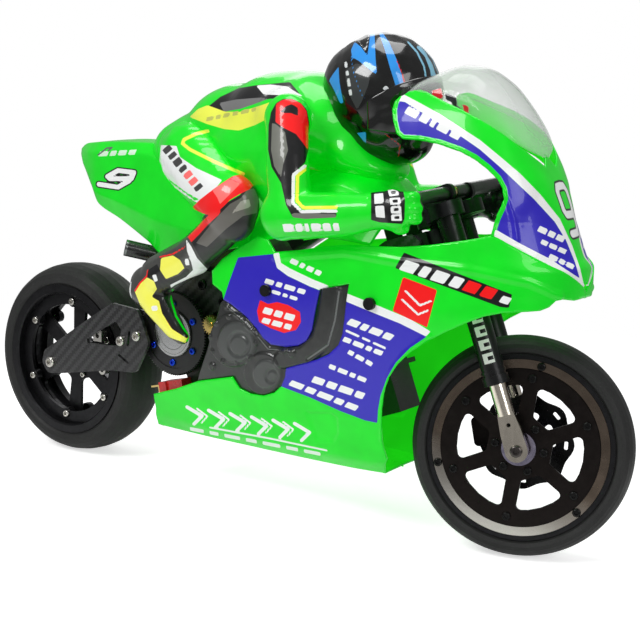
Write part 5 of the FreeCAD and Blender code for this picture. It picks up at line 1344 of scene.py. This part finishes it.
boots = blob("boots", both_sides([
    Bar((-23.5, -40, 131.4), (-48.4, -38, 118.7), 10.6, 11.2, 0.85),
    Ball((-56.0, -38, 112.6), (11.2, 8.6, 10.6)), Ball((-58.5, -38, 109.5), (9.5, 8.0, 8.5)),
    Bar((-56, -38, 110.5), (-50.3, -37.5, 103.6), 9.8, 9.0, 0.85),
    Bar((-50.3, -37.5, 103.6), (-39.2, -37, 91.4), 8.8, 6.0, 0.9),
    Bar((-39.2, -37, 91.4), (-33.6, -37, 87.2), 5.8, 4.2, 0.9)]), voxel=1.0, smoothing=4)
artwork(boots, to_sheet(coords(boots)),
        yellow=(BOOT_YELLOWS,), black=([BOOT_BLACK],), red=([], BOOT_RED_LINES),
        white=(BOOT_WHITES,), green=([], [BOOT_GREEN_LINE]))
dress(boots, suit_paint("boot_paint", BOOT_GREY, dict(
    yellow=BOOT_YELLOW, red=RED, black=BLACK, white=WHITE, green=GREEN), roughness=0.36))
for ob, replaced in ((torso, "rider_torso"), (arms, "rider_arms"), (legs, "rider_legs"),
                     (gloves, None), (boots, None)):
    fit(ob, replaced)

# ---------------------------------------------------------------- helmet
helmet = blob("helmet_body", [
    Ball((62.0, 0, 215.8), (29.5, 26.8, 29.6), 14), Ball((68, 0, 205), (24, 23.5, 25), 14),
    Ball((72, 0, 196), (17, 19, 15), 14), Ball((57, 0, 218), (26, 25, 24), 14)],
    voxel=1.1, smoothing=6)
with edited(helmet.data) as bm:                     # cut the lower rear off flat and close it
    cut = bmesh.ops.bisect_plane(
        bm, geom=bm.verts[:] + bm.edges[:] + bm.faces[:],
        plane_co=Vector(((33.5 + SHIFT_X) / 1000, 0, 0.2165)),
        plane_no=Vector((-0.77, 0, -0.64)).normalized(), clear_outer=True)
    rim = [part for part in cut["geom_cut"] if isinstance(part, bmesh.types.BMEdge)]
    bmesh.ops.holes_fill(bm, edges=rim, sides=0)
HELMET_BLUES = [
    points(177.3,20.85, 175.5,25, 176,28.5, 179.5,30.5, 185.7,35.5, 188.5,37.5, 187.75,29,
           187.25,16, 185.25,16, 183.75,28, 180.5,23.5),
    points(164.5,40.25, 166.5,37, 169.25,33.5, 169.75,41.5, 171.75,51.75, 170,51.5, 167,45),
    points(178.5,66.5, 183,66, 183,72, 180.5,69),
    points(189.4,16.25, 191.5,16.6, 194.75,21.5, 198,29, 200.75,37, 202.75,45.5, 199,47.5,
           197.25,41, 195.2,34.5, 192.5,25)]
HELMET_RED = points(197.75,29.25, 198.65,29.8, 201.5,37, 204,45.5, 202.5,45.5, 200.75,37)
HELMET_GREYS = [points(172.5,35, 178.5,31.5, 185.5,36.5, 184,43, 181,50.5, 178.5,55, 175,48,
                       173,41),
                points(178,20, 183,17, 189,16.5, 185.5,16, 182,17)]
artwork(helmet, to_sheet(coords(helmet)),
        blue=(HELMET_BLUES, [(points(175.5,29, 177,37, 179.5,44, 182,49.5), 0.275)]),
        light=([], [(points(204,21, 208.5,26, 212,33, 213.5,42, 214,46), 0.45),
                    (points(209,23.5, 213,28, 215.75,35, 216.75,42.5), 0.65)]),
        red=([HELMET_RED], [(points(190.5,65, 195,68.75, 200,72.5, 199.25,78.5), 0.35)]),
        grey=(HELMET_GREYS,),
        white=(blocks(((172, 31), (175.5, 53), 1.5, (3, 2.5, 4, 3), 1.5, 0),
                      ((191, 44), (199, 51), 2.25, (2.5, 2, 2.5), 1, 0.3)),
               [(points(179.5,20.75, 182.75,25.5, 184.75,16.5), 0.3)]))
dress(helmet, paint("helmet_paint", srgb("050606"), dict(
    grey=srgb("3a3d3e"), blue=srgb("2f9cf5"), light=srgb("8fd0ee"), red=srgb("d8121e"),
    white=srgb("e8ecee")), roughness=0.22, coat=1.0, glow=0.0))
fit(helmet, "helmet_shell")

# visor: a shield laid just off the helmet by rays cast back at a point inside it
VISOR_COLUMNS, VISOR_ROWS = 64, 26
HALF_SWEEP = 74      # degrees to each side of straight ahead
graph = bpy.context.evaluated_depsgraph_get()
helmet_tree = BVHTree.FromObject(helmet, graph)
centre = Vector(((62 + SHIFT_X) / 1000, 0, 0.209))
verts = []
for i in range(VISOR_COLUMNS + 1):
    turn = math.radians(-HALF_SWEEP + 2 * HALF_SWEEP * i / VISOR_COLUMNS)
    middleness = math.cos(turn * 1.1)
    low = math.radians(-24 - 2 * middleness)
    high = math.radians(-6 + 34 * middleness ** 0.6)
    for k in range(VISOR_ROWS + 1):
        lift = low + (high - low) * k / VISOR_ROWS if k == 0 else low + (high - low) * (
            k / VISOR_ROWS)
        ray = Vector((math.cos(lift) * math.cos(turn), math.cos(lift) * math.sin(turn),
                      math.sin(lift)))
        place, normal = helmet_tree.ray_cast(centre + ray * 0.08, -ray)[:2]
        if place is None:
            place, normal = centre + ray * 0.028, ray
        place = place + normal * 0.0009
        verts.append((place.x * 1000 - SHIFT_X, place.y * 1000, place.z * 1000))
visor = mesh_object("visor_shield", verts, grid_faces(VISOR_COLUMNS + 1, VISOR_ROWS + 1))
fix_normals(visor)
dress(visor, plastic("visor_tint", (0.004, 0.004, 0.0045), roughness=0.06, coat=1.0, scale=80,
                     relief=0.01))
add_wall(visor, 0.9)
fit(visor, "helmet_visor")

# ---------------------------------------------------------------- shock spring
SHOCK_TOP = np.array((-62.0, 0, 121.0))
SHOCK_FOOT = np.array((-76.7, 0, 80.6))
COIL_TURNS, COIL_RADIUS, WIRE_RADIUS = 5.6, 5.9, 0.66
COIL_STEPS, WIRE_SIDES = 260, 10
shock_length = np.linalg.norm(SHOCK_FOOT - SHOCK_TOP)
down = (SHOCK_FOOT - SHOCK_TOP) / shock_length
left = np.array((0.0, 1.0, 0.0))
square = np.cross(down, left)
coil_start, coil_end = 7.4, shock_length - 7.1       # distances down from the top
verts, faces = [], []
for i in range(COIL_STEPS + 1):
    t = i / COIL_STEPS
    angle = 2 * math.pi * COIL_TURNS * t
    outward = left * math.cos(angle) + square * math.sin(angle)
    middle = SHOCK_TOP + down * (coil_start + (coil_end - coil_start) * t) + outward * COIL_RADIUS
    for k in range(WIRE_SIDES):
        around = 2 * math.pi * k / WIRE_SIDES
        verts.append(middle + (outward * math.cos(around) + down * math.sin(around))
                     * WIRE_RADIUS)
for i in range(COIL_STEPS):
    for k in range(WIRE_SIDES):
        a, b = i * WIRE_SIDES + k, i * WIRE_SIDES + (k + 1) % WIRE_SIDES
        faces.append((a, b, b + WIRE_SIDES, a + WIRE_SIDES))
faces.append(tuple(range(WIRE_SIDES))[::-1])
faces.append(tuple(COIL_STEPS * WIRE_SIDES + k for k in range(WIRE_SIDES)))
coil = mesh_object("shock_coil", verts, faces)
fix_normals(coil)
shade_smooth(coil)
dress(coil, SPRING)
fit(coil, "shock_spring", rides="shock_body")
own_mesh(coil)


# ---------------------------------------------------------------- floor, light, camera
def pale_floor():
    """Near-white floor that fades into plain white away from the model."""
    shader = Shader("pale_floor")
    camera_ray = shader.add("ShaderNodeLightPath").outputs["Is Camera Ray"]
    shader.set(Base_Color=shader.mix(shader.vary(shader.noise(3, 2)), (0.93, 0.93, 0.93),
                                     (0.95, 0.95, 0.95)),
               Roughness=0.75, Emission_Color=(1, 1, 1),
               Emission_Strength=shader.remap(camera_ray, 0.0, 1.0, 0.06, 0.62))
    length = shader.add("ShaderNodeVectorMath", operation="LENGTH")
    shader.put(length.inputs[0], shader.add("ShaderNodeNewGeometry").outputs["Position"])
    white = shader.add("ShaderNodeEmission")
    shader.put(white.inputs["Strength"], shader.remap(camera_ray, 0.0, 1.0, 0.2, 1.0))
    fade = shader.add("ShaderNodeMixShader")
    # the fade runs from 0.22 m to 0.6 m out
    shader.put(fade.inputs[0], shader.remap(length.outputs["Value"], 0.22, 0.6, 0.0, 1.0))
    shader.put(fade.inputs[1], shader.bsdf.outputs[0])
    shader.put(fade.inputs[2], white.outputs[0])
    shader.put(shader.tree.nodes["Material Output"].inputs[0], fade.outputs[0])
    return shader


floor_mesh = bpy.data.meshes.new("floor")
floor_mesh.from_pydata([(-4, -4, 0), (4, -4, 0), (4, 4, 0), (-4, 4, 0)], [], [(0, 1, 2, 3)])
floor = new_object("floor", floor_mesh)
dress(floor, pale_floor())

scene = bpy.context.scene
scene.view_settings.view_transform = "Standard"


def build_world():
    """Dim white light, seen as full white by the camera."""
    world = scene.world or bpy.data.worlds.new("studio")
    scene.world = world
    world.use_nodes = True
    nodes, links = world.node_tree.nodes, world.node_tree.links
    lighting = nodes["Background"]
    backdrop = nodes.new("ShaderNodeBackground")
    for background, strength in ((lighting, 0.26), (backdrop, 1.0)):
        background.inputs[0].default_value = (1, 1, 1, 1)
        background.inputs[1].default_value = strength
    mix = nodes.new("ShaderNodeMixShader")
    links.new(nodes.new("ShaderNodeLightPath").outputs["Is Camera Ray"], mix.inputs[0])
    links.new(lighting.outputs[0], mix.inputs[1])
    links.new(backdrop.outputs[0], mix.inputs[2])
    links.new(mix.outputs[0], nodes["World Output"].inputs[0])


def area_light(name, place, target, width, energy, height=None):
    """Rectangular light; places and sizes in metres, energy in watts."""
    light = bpy.data.lights.new(name, "AREA")
    light.energy = energy
    light.shape = "RECTANGLE"
    light.size = width
    light.size_y = height or width
    ob = new_object(name, light)
    ob.location = place
    aim = Vector(target) - Vector(place)
    ob.rotation_euler = aim.to_track_quat("-Z", "Y").to_euler()


build_world()
area_light("key", (-0.25, -0.95, 0.95), (0, 0, 0.12), width=0.55, energy=7.5, height=0.4)
area_light("fill", (0.95, -0.45, 0.55), (0.05, 0, 0.12), width=0.45, energy=2.6)
area_light("top", (0.0, 0.1, 1.2), (0, 0, 0.1), width=0.6, energy=4.6)
area_light("back", (-0.5, 0.9, 0.7), (0, 0, 0.12), width=0.6, energy=1.8)

lens = bpy.data.cameras.new("camera")
lens.sensor_fit = "HORIZONTAL"
lens.sensor_width = 36.0
lens.lens = lens.sensor_width * SHEET_DISTANCE / SHEET_SIZE
lens.clip_start, lens.clip_end = 0.01, 20
camera = new_object("camera", lens)
camera.matrix_world = Matrix((*zip(SHEET_RIGHT, SHEET_UP, -SIGHT, to_model(EYE)), (0, 0, 0, 1)))
scene.camera = camera
